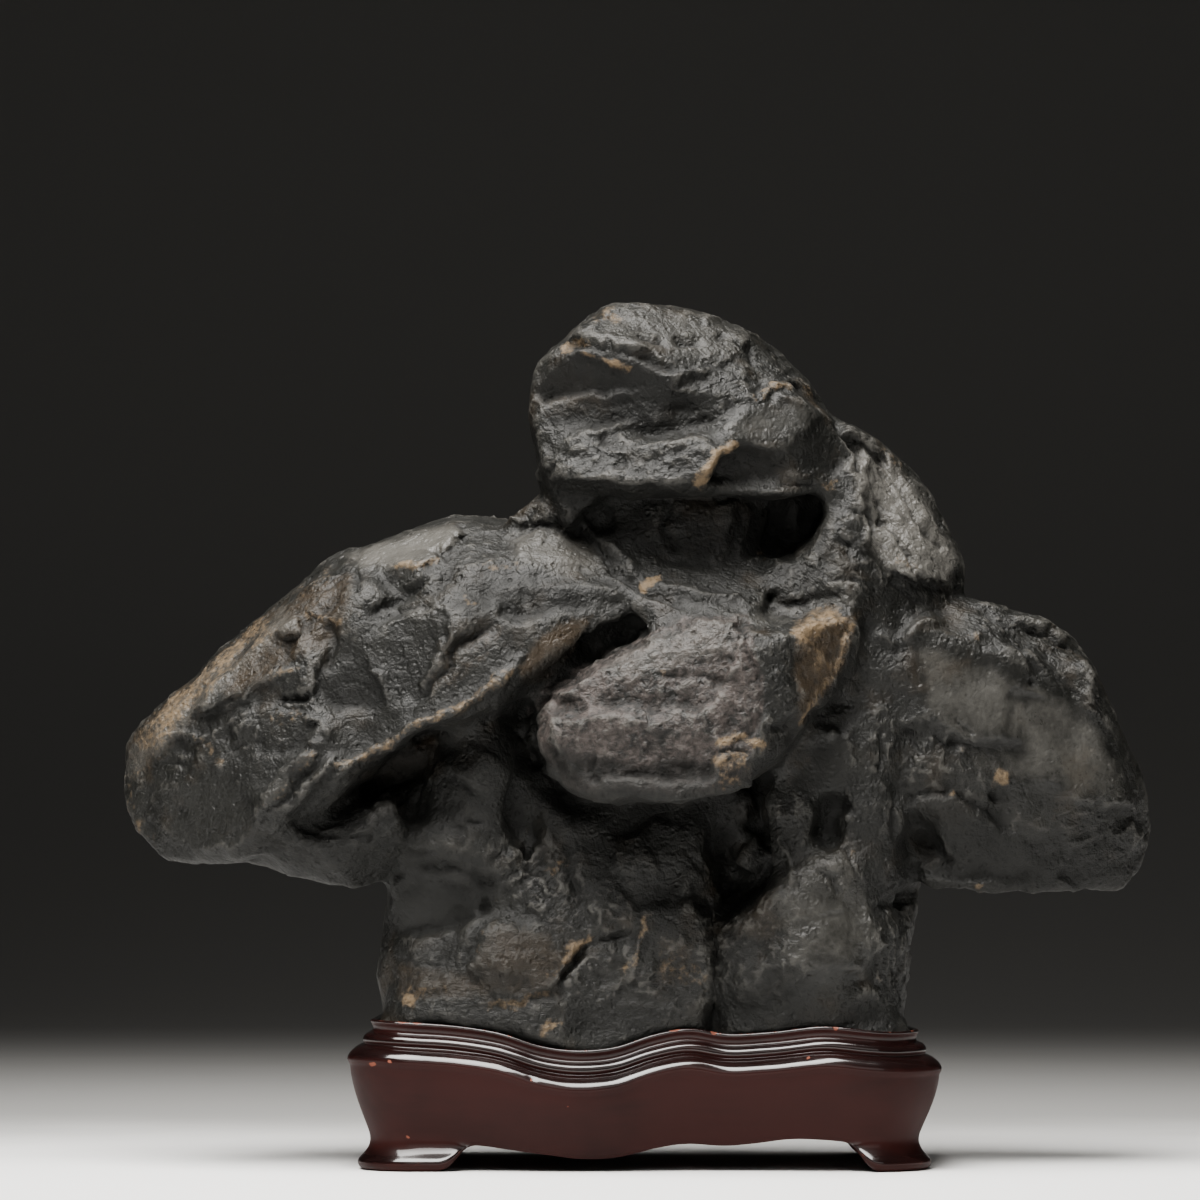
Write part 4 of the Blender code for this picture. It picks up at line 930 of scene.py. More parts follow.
# The stone's noise: size in millimetres, detail, unevenness
STONE_NOISE = {
    "broad": (26.0, 3.0, 0.55),
    "warm": (15.0, 4.0, 0.6),
    "patches": (8.0, 5.0, 0.6),
    "lumps": (5.0, 5.0, 0.6),
    "grain": (1.7, 5.0, 0.65),
    "dust": (0.55, 3.0, 0.6),
}
STREAK_SIZE = 4.2
STREAK_STRETCH = 3.2
CHIP_SIZE = 3.2
PIT_SIZE = 2.4
# How much of its roughness the stone loses where it is smooth
SMOOTHED_BY = 0.65


def stone_material(look):
    """Charcoal stone: mottled, rubbed, stained, veined and pitted where the mesh says, with painted light and shade
    on its patches and painted shade in its hollows.
    """
    paint = Paint("dark_stone")
    noise = {name: paint.speckle(*kind) for name, kind in STONE_NOISE.items()}
    grain = noise["grain"] - 0.5
    patches = noise["patches"] - 0.5
    tone = paint.field("tone")
    hollow = paint.field("hollow")
    plum = paint.field("plum")
    coarse = 1.0 - paint.field("smooth") * SMOOTHED_BY
    streaks = 0.0
    for name, angle in STREAKS:
        streaks = streaks + paint.streak(angle, STREAK_SIZE, STREAK_STRETCH) * paint.field(name)

    # Each colour is laid over the ones before it, this strongly
    mottled = (noise["broad"] * 0.5 + noise["patches"] * 0.7 + noise["grain"] * 0.35).between(0.45, 1.1)
    block = paint.mixed((noise["grain"] * 0.6 + noise["patches"] * 0.5).between(0.4, 0.75), look.dark_stone_and_shade, look.plum)
    # Ridges worn paler, with a painted sheen on them as well
    rubbed = paint.field("worn") + grain * 1.2 + (streaks - 0.3) * 0.3
    uneven = patches * 0.5 + grain * 0.4
    vein = (paint.field("tan") + grain * 1.6 + patches).between(0.4, 1.05)
    layers = (
        (look.body, mottled),
        (look.brown, noise["warm"].between(0.52, 0.72) * 0.35),
        (look.brown, (paint.field("brown") + grain * 0.9).between(0.3, 0.85) * 0.85),
        (block, (plum + patches * 0.5).between(0.3, 0.65)),
        (look.worn, rubbed.between(0.55, 1.25) * coarse * 0.42),
        (look.worn, noise["dust"].between(0.6, 0.74) * noise["patches"].between(0.45, 0.65) * 0.3),
        # Painted light: paler stone where the front is lit
        (look.worn, (tone + uneven).between(0.15, 1.2) * 0.8),
        # Painted shade: darker stone where the front is shaded or turns down
        (look.dark_stone_and_shade, (uneven - tone).between(0.1, 1.0) * 0.8),
        (look.tan, vein * 0.9),
        # Painted shade in hollows and creases
        (look.dark_stone_and_shade, hollow.between(0.1, 0.9) * 0.55),
    )
    colour = look.dark_stone_and_shade
    for layer, share in layers:
        colour = paint.mixed(share, colour, layer)

    roughness = 0.42 + patches * 0.30 + hollow * 0.2 + plum * 0.08 + vein * 0.12 + grain * 0.2 - tone * 0.17
    chips = paint.cells(CHIP_SIZE, {"feature": "DISTANCE_TO_EDGE"}).between(0.0, 0.16)
    pits = paint.cells(PIT_SIZE).between(0.08, 0.36)
    fine = noise["grain"] * 0.6 + noise["dust"] * 0.4
    # Each bump lies over the one before: height, strength, millimetres
    bumps = (
        (noise["lumps"], 0.7, 1.4),
        (streaks * 0.5 + chips * 0.12 + pits * 0.4, 0.8, 0.8),
        (fine, 0.9, 0.5),
    )
    normal = None
    for height, strength, distance in bumps:
        normal = paint.bumped(height * coarse, strength, distance, normal)
    return paint.finish(
        {"Base Color": colour, "Roughness": roughness, "Normal": normal, "Specular IOR Level": 0.21}
    )


def lacquer_material(look):
    """Red-brown lacquer: glossy on the mouldings, satin on the wall, rubbed and chipped where the mesh says."""
    paint = Paint("dark_wood")
    wall = paint.field("wall")
    grain = paint.speckle(2.2, 5.0, 0.6, stretch=(0.10, 1.0, 1.0))
    broad = paint.speckle(30.0, 3.0)
    patches = paint.speckle(6.0, 4.0) - 0.5
    flakes = paint.speckle(3.0, 5.0, 0.65) - 0.5
    fine = paint.speckle(0.8, 3.0, 0.6)
    thin = (broad * 0.8 + grain * 0.3 + wall * 0.35).between(0.45, 1.05)
    colour = paint.mixed(thin, look.deep, look.lacquer)
    wear = (paint.field("rub") + flakes * 1.7 + (fine - 0.5) * 0.6).between(0.72, 1.05)
    return paint.finish(
        {
            "Base Color": paint.mixed(wear, colour, look.rubbed),
            "Roughness": 0.24 + patches * 0.10 + wear * 0.25 + wall * 0.30,
            "Coat Weight": 0.9 - wall * 0.86 - wear * 0.5,
            "Normal": paint.bumped(grain + fine * 0.4, 0.10, 0.10),
            "Coat Roughness": 0.10,
            "Specular IOR Level": 0.07,
        }
    )


def sweep_material(look):
    """Pale under the object, with painted shade further in front and behind, where the light falls off."""
    paint = Paint("graded_sweep")
    back = paint.node("SeparateXYZ", None, {"Vector": paint.place}, out="Y")
    cloth = (paint.speckle(90.0, 3.0) - 0.5) * 0.08
    # Each band lies over the ones before: how far on it is, where it begins and ends in metres, its colour
    # Painted shade: the floor darkens behind the object, fades into the backdrop's colour further back, and darkens
    # in front
    bands = (
        (back + cloth, -0.08, 0.28, SHADED_FLOOR_BEHIND),
        (back + cloth, 0.30, 1.15, look.backdrop_colour),
        (cloth - back, 0.28, 0.90, SHADED_FLOOR_IN_FRONT),
    )
    colour = look.floor_colour
    for way, begins, ends, band in bands:
        colour = paint.mixed(way.between(begins, ends), colour, band)
    return paint.finish({"Base Color": colour, "Roughness": 0.8})


# ---------------------------------------------------------------- making things

# Heights between which the carving fades out towards the stand
SEAT_RIM = 37.0
ABOVE_SEAT = 46.0
# How far the grain's pattern is bent, and the noise that bends it each way
BEND = 2.6
BEND_SEEDS = (21, 22, 23)
GRAIN_SEED = 40
# Shares of what GRAINS lists
STRETCH_SHARE = 0.6
FOLD_SHARE = 0.45
CRUMB_SHARE = 1.5
# Folds where the stone turns away, how much of the grain smooth places lose, and what is carved inside the recess
TURNED_SHARE = 0.35
CALMED_BY = 0.6
SEAT_CARVING = 0.3


def deselect():
    """Leaves edit mode and selects nothing."""
    if bpy.context.mode != "OBJECT":
        bpy.ops.object.mode_set(mode="OBJECT")
    bpy.ops.object.select_all(action="DESELECT")


def make_active(piece):
    """Selects only this piece."""
    deselect()
    piece.select_set(True)
    bpy.context.view_layer.objects.active = piece


def copy_of_node(node, name):
    """A copy of a node's solid with its loose triangles joined up."""
    piece = bpy.data.objects.new(name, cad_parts[node].data.copy())
    bpy.context.scene.collection.objects.link(piece)
    piece.data.materials.clear()
    make_active(piece)
    bpy.ops.object.mode_set(mode="EDIT")
    bpy.ops.mesh.select_all(action="SELECT")
    bpy.ops.mesh.remove_doubles(threshold=0.00001)
    bpy.ops.object.mode_set(mode="OBJECT")
    return piece


def apply(piece, kind, **settings):
    """Adds a modifier, sets it and applies it."""
    step = piece.modifiers.new(kind.title(), kind)
    for key, value in settings.items():
        setattr(step, key, value)
    make_active(piece)
    bpy.ops.object.modifier_apply(modifier=step.name)


def store(piece, name, values):
    """Puts a number for each point on the mesh, under this name."""
    attributes = piece.data.attributes
    layer = attributes.get(name)
    if layer is None:
        layer = attributes.new(name, "FLOAT", "POINT")
    layer.data.foreach_set("value", np.ascontiguousarray(values, np.float32))


def stored(piece, name):
    """The numbers of this name on the mesh."""
    values = np.empty(len(piece.data.vertices), np.float32)
    piece.data.attributes[name].data.foreach_get("value", values)
    return values


def soft_region(seen, outline, edge):
    """1 well inside the outline and 0 well outside, with a border this wide on both sides of it."""
    return soft_step(-edge, edge, inside_by(seen, outline))


def wobbled(carving):
    """Places on the front view, shifted a little this way and that so that no border is straight."""
    shift = np.column_stack([
        waves(carving.points, 7.0, 11) * 1.1 + waves(carving.points, 2.6, 12) * 0.55,
        waves(carving.points, 7.0, 13) * 1.1 + waves(carving.points, 2.6, 14) * 0.55,
    ])
    return carving.seen + shift


def calm_share(carving, place):
    """1 in the places that stay smooth, 0 elsewhere."""
    calm = np.zeros(len(place))
    for outline in SMOOTH:
        calm = np.maximum(calm, soft_region(place, outline, 5.0))
    return calm * carving.shows


def seat_share(points):
    """0 inside the recess of the stand, 1 well above its rim: what may be carved there."""
    return soft_step(SEAT_RIM, ABOVE_SEAT, points[:, 2])


def carve_front(piece, view):
    """The main faces, ledges, veins, furrows and pits of the front."""
    carving = Carving(piece.data, view)
    carving.smooth_normals(12)
    carving.look()
    carving.shows *= seat_share(carving.points)
    place = wobbled(carving)
    flatten(carving, place, FACETS)
    moved = stroke_heights(place, STROKES) * carving.shows
    carving.points += carving.normals * moved[:, None]
    carving.write()


def carve_grain(piece, view):
    """Streaks, chips and crumbs: each part of the front has its own, and the whole stone has a common one."""
    carving = Carving(piece.data, view)
    carving.smooth_normals(4)
    carving.look()
    place = wobbled(carving)
    points = carving.points
    bent = points + np.column_stack([waves(points, 11.0, seed) for seed in BEND_SEEDS]) * BEND

    calm = calm_share(carving, place)
    folds = np.zeros(len(points))
    for number, (outline, angle, stretch, size, height, crumb) in enumerate(GRAINS):
        share = soft_region(place, outline, 3.0) * carving.shows
        near = np.flatnonzero(share > 0.01)
        if not len(near):
            continue
        seed = GRAIN_SEED + 7 * number
        squeezed = along_grain(bent[near], angle, 1.0 + (stretch - 1.0) * STRETCH_SHARE)
        fold = edged(squeezed, size, seed, 3, 0.5)
        chips = -chiselled(squeezed, size * 0.8, seed + 3, 1.0) / size
        folds[near] += share[near] * (fold * height * FOLD_SHARE + chips * crumb * CRUMB_SHARE)

    # Carved everywhere: heights, their share on the front, and how much more of them there is behind
    common = (
        (rough(points, 24.0, 301, 2) * 1.5, 0.25, 0.75),
        (chiselled(bent, 13.0, 311, 0.9) * 0.16, 0.4, 0.9),
        (chiselled(bent, 6.0, 321, 0.9) * -0.15, 0.5, 0.6),
        (edged(bent, 9.0, 331, 4, 0.5), 0.3, 1.2),
    )
    moved = sum(heights * (front + behind * carving.away) for heights, front, behind in common)
    facing = soft_step(0.0, 0.45, carving.facing)
    turned = soft_step(0.45, 0.0, carving.facing)
    moved += folds * facing + folds * TURNED_SHARE * turned
    moved *= 1.0 - CALMED_BY * calm
    moved += waves(points, 2.4, 351) * 0.08
    above = seat_share(points)
    moved = moved * above + np.minimum(moved, 0.0) * (1.0 - above) * SEAT_CARVING
    carving.points += carving.normals * moved[:, None]
    carving.write()


# Tan veins and nodules: line, half-width, strength
TAN = (
    (((25, 192.5), (21.5, 190.5), (19.3, 187), (16.5, 183)), 1.6, 1.0),
    (((-12, 228), (-9, 229.5), (-6, 227)), 2.0, 0.7), (((-20, 219), (-15, 220.5)), 1.6, 0.8),
    (((-8, 215.5), (-3, 214.5)), 1.3, 0.8), (((-15, 217), (-10, 216.5)), 1.0, 0.6),
    (((31, 206), (37, 208.5), (43, 209.5), (47, 207)), 1.4, 0.6), (((70, 189), (66, 191)), 2.0, 0.5),
    (((1, 154.5), (4.5, 156.5)), 1.3, 1.0), (((51, 182), (53, 183)), 1.2, 0.6),
    (((-81, 106), (-73, 109), (-66, 113), (-60, 117.3), (-52, 119.8), (-45, 124.3), (-40, 127.8),
      (-35, 132)), 1.5, 0.6),
    (((-66, 160), (-60, 161), (-54, 161.5)), 1.2, 0.7), (((-90, 154), (-84, 158)), 2.2, 0.5),
    (((-90, 147), (-85, 146), (-81, 145)), 1.2, 0.7), (((-99, 131), (-92, 132.5)), 1.1, 0.6),
    (((-102, 144), (-110, 136), (-118, 128), (-126, 121), (-133, 113)), 3.2, 0.7),
    (((-130, 108), (-137, 104), (-138, 96), (-134, 89), (-128, 84)), 2.0, 0.4),
    (((-119, 113.5), (-112, 107)), 1.6, 0.5), (((-97, 119), (-91, 119)), 2.4, 0.45),
    (((-102, 94), (-96, 100), (-88, 110)), 1.6, 0.45), (((-33, 160), (-42, 160)), 1.4, 0.5),
    (((45, 142), (49, 146), (53, 147.5)), 2.8, 1.0), (((44, 140), (42, 143.5)), 1.6, 0.7),
    (((22, 112.8), (28, 114), (33, 112.4)), 1.3, 0.95), (((22, 107.5), (28, 108.5)), 2.6, 0.75),
    (((22, 101.5), (26, 103)), 2.0, 0.5), (((58, 145), (54, 135), (49, 125), (44, 118.8)), 1.3, 0.7),
    (((46, 138), (51, 132)), 3.5, 0.45), (((6.3, 131.8),), 1.4, 0.8),
    (((2.4, 65), (2, 61), (0.8, 57), (-1.4, 53.5), (-3, 50.8)), 1.2, 0.7),
    (((8, 54), (12, 51), (17, 49)), 3.0, 0.5), (((-12.8, 60), (-17.5, 56.8), (-20.5, 53)), 1.1, 0.8),
    (((-62.5, 42.5),), 1.8, 1.0), (((-25, 34.5), (-22, 37)), 1.6, 0.9), (((-20, 50), (-26, 50)), 2.0, 0.4),
    (((-41, 41), (-33, 42.5), (-25, 45)), 1.2, 0.6), (((-63, 45), (-52, 46.5)), 1.4, 0.5),
    (((-44, 57), (-41, 62)), 1.4, 0.4), (((-23, 78), (-20, 80)), 1.6, 0.5), (((-30, 88.5),), 1.2, 0.6),
    (((98, 103),), 2.3, 1.0), (((91, 141),), 1.8, 0.6), (((87, 110.5),), 1.5, 0.5), (((85, 99),), 1.4, 0.5),
    (((75, 160), (70, 163)), 1.3, 0.5), (((65, 48.5),), 1.6, 0.5), (((57, 84), (60, 74)), 0.8, 0.4),
    (((33, 164),), 1.8, 0.5), (((92, 73.3),), 1.2, 0.7), (((-48, 152), (-43, 150)), 1.0, 0.4),
)

# Iron-stained faces: outline, strength
BROWN = (
    (((-33, 133), (-26, 142), (-18, 146), (-12, 146), (-17, 137), (-24, 129), (-31, 128)), 1.0),
    (((-56, 122), (-42, 132), (-34, 144), (-40, 150), (-52, 146), (-58, 130)), 0.45),
    (((-80, 103), (-60, 116), (-52, 118), (-52, 104), (-70, 98)), 0.8),
    (((-47, 51), (-40, 64), (-25, 62), (-19, 55), (-22, 44), (-66, 42), (-66, 54)), 0.7),
    (((-92, 134), (-78, 142), (-76, 160), (-92, 156), (-112, 134), (-112, 122)), 0.6),
    (((42, 147), (60, 148), (56, 134), (47, 120), (42, 119)), 0.9),
    (((20, 115), (33, 115), (30, 104), (18, 102)), 0.6),
    (((70, 90), (78, 89), (84, 80), (78, 76), (72, 84)), 0.6),
    (((5, 60), (16, 60), (18, 46), (4, 46)), 0.5),
    (((-27, 209), (-6, 207), (-6, 199), (-27, 199)), 0.5),
    (((0, 178), (26, 178), (24, 160), (2, 160)), 0.35),
    (((-52, 110), (-43, 110), (-42, 102), (-50, 102)), 0.5),
    (((-126, 90), (-108, 94), (-84, 100), (-92, 88), (-112, 80)), 0.3),
    (((-142, 112), (-120, 134), (-92, 158), (-88, 150), (-114, 124), (-134, 100)), 0.5),
)
# Outline of the jutting block's purplish face
PLUM = ((-30, 125), (-8, 137), (12, 146), (30, 147), (34, 125), (30, 104), (20, 98), (-18, 100), (-26, 108))


# Painted shade (negative) and painted light (positive) on patches of the front, where the stone is shaded or lit:
# outline, strength
PAINTED_LIGHT_AND_SHADE = (
    (((-18, 170), (-6, 178), (26, 179), (50, 177), (53, 166), (40, 157), (28, 153), (12, 150), (0, 153),
      (-9, 160)), -0.4),
    (((-27, 109), (-14, 101), (0, 102.5), (20, 102.5), (33, 107), (37, 98), (30, 89), (0, 86), (-18, 91),
      (-29, 100)), -1.2),
    (((-10, 134), (6, 143), (26, 147), (28, 138), (10, 132), (-8, 128)), 0.6),
    (((-29, 209), (-20, 217), (-12, 219), (-4, 217.5), (4, 214.5), (9, 212), (2, 208), (-8, 205),
      (-27, 205)), -1.0),
    (((-27, 204), (-8, 205), (6, 206), (10, 203), (4, 198), (-26, 197)), -0.75),
    (((20, 189), (26, 192), (36, 191), (37, 187), (33, 183.5), (22, 182)), -0.8),
    (((-86, 130), (-80, 136), (-75, 136.5), (-69, 129), (-67.5, 122.5), (-72, 121), (-82, 121)), -0.9),
    (((-112, 110), (-96, 112), (-84, 118), (-80, 110), (-100, 98), (-112, 100)), -0.5),
    (((-50, 150), (-40, 156), (-20, 157), (-5, 153), (-12, 148), (-30, 144), (-44, 140)), -0.6),
    (((-22, 109), (0, 107), (20, 108), (32, 111), (28, 97), (0, 93), (-18, 97)), -0.9),
    (((-30, 100), (20, 98), (18, 72), (0, 66), (-20, 70), (-30, 84)), -0.55),
    (((-70, 86), (-52, 84), (-40, 78), (-40, 66), (-58, 58), (-70, 62)), -0.9),
    (((72, 98), (85, 100), (95, 94), (112, 80), (134, 78), (120, 68), (76, 68)), -0.9),
    (((54, 104), (70, 104), (76, 66), (62, 64)), -0.6),
    (((20, 62), (40, 62), (44, 36), (20, 36)), -0.5),
    (((-66, 43), (74, 41), (74, 32), (-66, 34)), -0.7),
    (((-86, 102), (-60, 112), (-32, 116), (-28, 88), (-60, 84), (-100, 82)), -0.9),
    (((-66, 58), (-42, 64), (-24, 63), (-18, 54), (-20, 40), (-68, 40)), -0.6),
    (((-80, 162.5), (-71, 167), (-62, 169.5), (-50, 172), (-46, 169), (-52, 164), (-65, 159), (-74, 160)),
     1.0),
    (((-36, 170), (-26, 171), (-18, 169), (-12, 165), (-8, 159), (-14, 157), (-24, 158), (-34, 162)), 0.7),
    (((-19, 220), (-4, 231), (20, 229), (30, 222), (20, 215), (4, 219)), 0.5),
    (((24, 195), (27, 201), (34, 206), (46, 205), (48, 198), (38, 192)), 0.4),
    (((56, 196), (66, 191), (78, 177), (87, 160), (84, 154), (70, 157), (62, 165)), 1.2),
    (((74, 140), (104, 130), (124, 117), (134, 96), (120, 94), (98, 100), (78, 118)), 0.6),
    (((40, 84), (60, 84), (66, 60), (62, 46), (36, 46), (36, 66)), 0.5),
    (((-140, 100), (-138, 112), (-118, 132), (-96, 150), (-92, 146), (-112, 126), (-132, 106)), 0.7),
    (((22, 147.5), (34, 149), (46, 151.5), (58, 154), (58, 149), (48, 148), (38, 144), (28, 144)), 0.6),
    (((-66, 148), (-60, 150), (-54, 150), (-54, 148), (-62, 146)), 0.7),
    (((-24, 187), (14, 190), (16, 184), (-20, 184)), 0.15),
    (((44, 82), (58, 82), (60, 70), (46, 70)), 0.35),
)


# How far a point stands out from its surroundings, near and wide, for each share of wear with a painted sheen on
# ridges, and of painted shade in hollows
WORN_BY = (2.6, 0.18)
HOLLOW_BY = (2.2, 0.10)
# Passes of averaging that give the near and the wide surroundings
NEAR_PASSES = 5
WIDE_PASSES = 28
# Most painted light and shade, either way
DARKEST = 1.2


def streak_share(carving, place, angle):
    """How strongly the stone is streaked in this direction."""
    total = np.zeros(len(place))
    for outline, lie, _, _, height, _ in GRAINS:
        apart = abs((lie - angle + 90.0) % 180.0 - 90.0)
        share = max(0.0, 1.0 - apart / 45.0) * min(height, 1.4)
        if share > 0.0:
            total = np.maximum(total, share * soft_region(place, outline, 4.0))
    everywhere = soft_step(0.0, 0.6, waves(carving.points, 30.0, 500 + int(angle))) * 0.8
    return total * carving.shows + everywhere * (1.0 - carving.shows)


def strongest(place, patches, edge):
    """The strongest of these outlined patches at each place, and the first where two are as strong."""
    most = np.zeros(len(place))
    for outline, share in patches:
        patch = share * soft_region(place, outline, edge)
        most = np.where(np.abs(patch) > np.abs(most), patch, most)
    return most


def veined(place):
    """How strong the tan veins and nodules are at each place of the front."""
    tan = np.zeros(len(place))
    for line, reach, share in TAN:
        low = np.min(line, axis=0) - 2 * reach
        high = np.max(line, axis=0) + 2 * reach
        near = np.flatnonzero(((place > low) & (place < high)).all(axis=1))
        gap, _, _ = along_line(place[near], line)
        tan[near] = np.maximum(tan[near], share * soft_step(1.9 * reach, 0.3 * reach, gap))
    return tan


def paint_fields(piece, view):
    """Stores on the mesh where it is rubbed, hollow, veined, stained or smooth, and where light and shade are
    painted.
    """
    carving = Carving(piece.data, view)
    carving.look()
    points = carving.points
    shows = carving.shows
    away = carving.away
    place = wobbled(carving)
    near = carving.averaged(points, NEAR_PASSES)
    wide = carving.averaged(near, WIDE_PASSES)
    facing_up = carving.averaged(carving.normals, 6)[:, 2]
    sharp = np.einsum("ij,ij->i", points - near, carving.normals)
    bulk = np.einsum("ij,ij->i", points - wide, carving.normals)
    # Ridges: worn paler, with a painted sheen
    store(piece, "worn", np.clip(sharp * WORN_BY[0] + bulk * WORN_BY[1], 0.0, 1.0))
    # Hollows and creases: painted shade
    store(piece, "hollow", np.clip(-sharp * HOLLOW_BY[0] - bulk * HOLLOW_BY[1], 0.0, 1.0))

    specks = soft_step(0.62, 0.95, rough(points, 9.0, 401, 3) + 0.25 * sharp) * 0.3
    store(piece, "tan", veined(place) * shows + specks * away)
    stains = soft_step(0.25, 0.75, waves(points, 38.0, 411) + 0.4 * waves(points, 12.0, 412)) * 0.6
    store(piece, "brown", strongest(place, BROWN, 3.0) * shows + stains * away)
    store(piece, "plum", soft_region(place, PLUM, 2.0) * shows)
    clouds = 0.6 * (waves(points, 26.0, 421) + 0.5 * waves(points, 9.0, 422))
    # Painted shade on faces that turn down
    under = soft_step(0.1, -0.7, facing_up)
    # Painted light and shade on the listed patches and under downward faces, with random tone on the hidden side
    tone = strongest(place, PAINTED_LIGHT_AND_SHADE, 3.2) * shows + clouds * away - 1.1 * under
    store(piece, "tone", np.clip(tone, -DARKEST, DARKEST))
    store(piece, "smooth", calm_share(carving, place))
    for name, angle in STREAKS:
        store(piece, name, streak_share(carving, place, angle))


def add_rocks(piece):
    """Rocks in the hollow under the head, fused with the stone by the remesh that follows."""
    bm = bmesh.new()
    bm.from_mesh(piece.data)
    backward = Vector((0.0, PLANE_DEPTH * MM, 0.0))
    for corners in HOLLOW_ROCKS:
        rock = [bm.verts.new(Vector(corner) * MM + backward) for corner in corners]
        made = bmesh.ops.convex_hull(bm, input=rock)
        bmesh.ops.delete(bm, geom=made["geom_interior"], context="VERTS")
    bm.to_mesh(piece.data)
    bm.free()


def build_stone(look, view):
    """The finished stone."""
    piece = copy_of_node(STONE_NODE, "carved_stone")
    add_rocks(piece)
    voxel = look.voxel * 1.0
    apply(piece, "REMESH", mode="VOXEL", voxel_size=voxel)
    passes = int(round(VOXEL_PASSES * (VOXEL / voxel) ** 2))
    apply(piece, "SMOOTH", factor=0.5, iterations=max(passes, FEWEST_PASSES))
    carve_front(piece, view)
    carve_grain(piece, view)
    count = sum(len(face.vertices) - 2 for face in piece.data.polygons)
    if count > look.triangles:
        apply(piece, "DECIMATE", ratio=look.triangles / count, use_collapse_triangulate=True)
    paint_fields(piece, view)
    make_active(piece)
    bpy.ops.object.shade_smooth()
    piece.data.materials.append(stone_material(look))
    return piece


# ---------------------------------------------------------------- the stand

# Plan of the lip, and how many stations go round it
STAND_MIDDLE = 1.3
LIP_HALF_LENGTH = 72.0
LIP_HALF_DEPTH = 40.6
CORNER_RADIUS = 13.0
LIP_WIDTH = 1.5
WAVE_IN_PLAN = 1.3
LONG_SPANS = 56
SHORT_SPANS = 20
CORNER_SPANS = 12

# Heights along the front and the back: (across, height)
RIM_FRONT = (
    (-76, 39.4), (-62, 38.6), (-48, 37.6), (-38, 36.0), (-27, 32.6), (-17, 31.4), (-8, 32.2), (2, 35.4),
    (11, 37.0), (21, 35.6), (33, 36.2), (47, 37.6), (58, 36.6), (64, 36.2), (78, 36.9),
)
RIM_BACK = ((-76, 39.4), (-52, 36.8), (-26, 38.2), (0, 33.5), (26, 37.2), (52, 35.0), (78, 36.5))
APRON = (
    (-76, 6.6), (-41, 6.4), (-26, 4.3), (-16, 3.3), (-5, 4.1), (3, 6.1), (10, 7.1), (21, 6.6), (28, 7.2),
    (36, 8.3), (47, 8.2), (56, 7.2), (78, 6.8),
)
# The mouldings under the rim: out from the lip, below the rim, how rubbed
MOULDING = (
    (-1.3, 0.15, 0.2), (-0.9, -0.05, 0.6), (-0.45, -0.05, 0.85), (-0.1, 0.2, 0.85), (0.0, 0.6, 0.3),
    (-0.2, 1.0, 0.0), (-0.55, 1.5, 0.0), (-0.75, 2.2, 0.0), (-0.7, 2.9, 0.0), (-0.45, 3.25, 0.0),
    (0.2, 3.35, 0.0), (1.0, 3.65, 0.0), (1.65, 4.25, 0.0), (1.95, 5.0, 0.2), (1.9, 5.7, 0.3),
    (1.55, 6.15, 0.1), (1.4, 6.45, 0.0), (1.8, 6.6, 0.0), (2.8, 6.85, 0.0), (3.9, 7.35, 0.0),
    (4.9, 8.1, 0.0), (5.65, 9.0, 0.0), (6.05, 9.9, 0.15), (6.05, 10.6, 0.45), (5.75, 11.2, 0.3),
    (5.45, 11.6, 0.05),
)
# The wall: out from the lip, share of the way down from the shoulder to the apron
WALL = (
    (5.3, 0.04), (5.15, 0.12), (4.6, 0.26), (3.7, 0.42), (2.6, 0.58), (1.4, 0.74), (0.4, 0.88), (0.0, 0.96),
)
# The foot: out from the lip, height, how rubbed, and how far in the apron's own edge stands there
FOOT = (
    (-0.1, 7.4, 0.0, -0.2), (0.25, 6.2, 0.0, -0.5), (0.9, 5.0, 0.0, -0.8), (1.9, 3.9, 0.0, -1.0),
    (2.7, 3.1, 0.25, -1.1), (3.1, 2.5, 0.7, -1.2), (3.2, 1.8, 0.75, -1.4), (2.9, 0.9, 0.4, -1.8),
    (2.2, 0.15, 0.1, -2.4), (0.5, 0.0, 0.0, -3.4), (-10.0, 0.0, 0.0, -6.0),
)
SEAT_HEIGHT = 20.0
UNDERSIDE_HEIGHT = 9.0
# How far the recess's floor and the underside reach in, and how far below the rim the recess's wall ends
SEAT_REACH = 12.0
UNDERSIDE_REACH = 14.0
SEAT_WALL_DROP = 1.2
# How far the wall ends above the foot's top and above the apron's edge, and how that edge is rounded
ABOVE_FOOT = 0.6
ABOVE_APRON = 1.4
APRON_ROUNDING = 0.9
APRON_ROUNDING_STEP = 0.25
# Dull places: the cove under the bead, the lip's outer face, and the foot's top and sole
COVE = (0.8, 3.0)
COVE_DULLNESS = 0.6
LIP_FACE = (9.3, 10.5)
FOOT_DULL_STEP = 0.3
FOOT_SOLE = 6
# The wave of the long front in plan
PLAN_WAVE_START = 20.0
PLAN_WAVE_LENGTH = 70.0
LEFT_FOOT_END = -52.5
RIGHT_FOOT_END = 60.0
FOOT_RISE = 7.5
FOOT_DEPTH = 20.0

CHIP_DEPTH = 0.18
# Small chips in the lacquer: across, up, size
CHIPS = (
    (-72, 25.5, 0.7), (-67.5, 26.5, 0.6), (-29, 21.6, 0.7), (-27.5, 21.2, 0.4), (10, 35.2, 0.8),
    (20.5, 34.0, 0.7), (53.5, 35.2, 0.7), (-64, 38, 1.2), (-60, 37.5, 0.9), (-19.5, 14, 0.5),
    (-18.6, 14.8, 0.35), (-62, 6.0, 0.5), (46, 27.5, 0.5), (-45, 26, 0.4),
)


def wave_height(knots, across):
    """The height at this place of the soft wave through these points."""
    return float(np.interp(across, *smooth_wave(knots)))


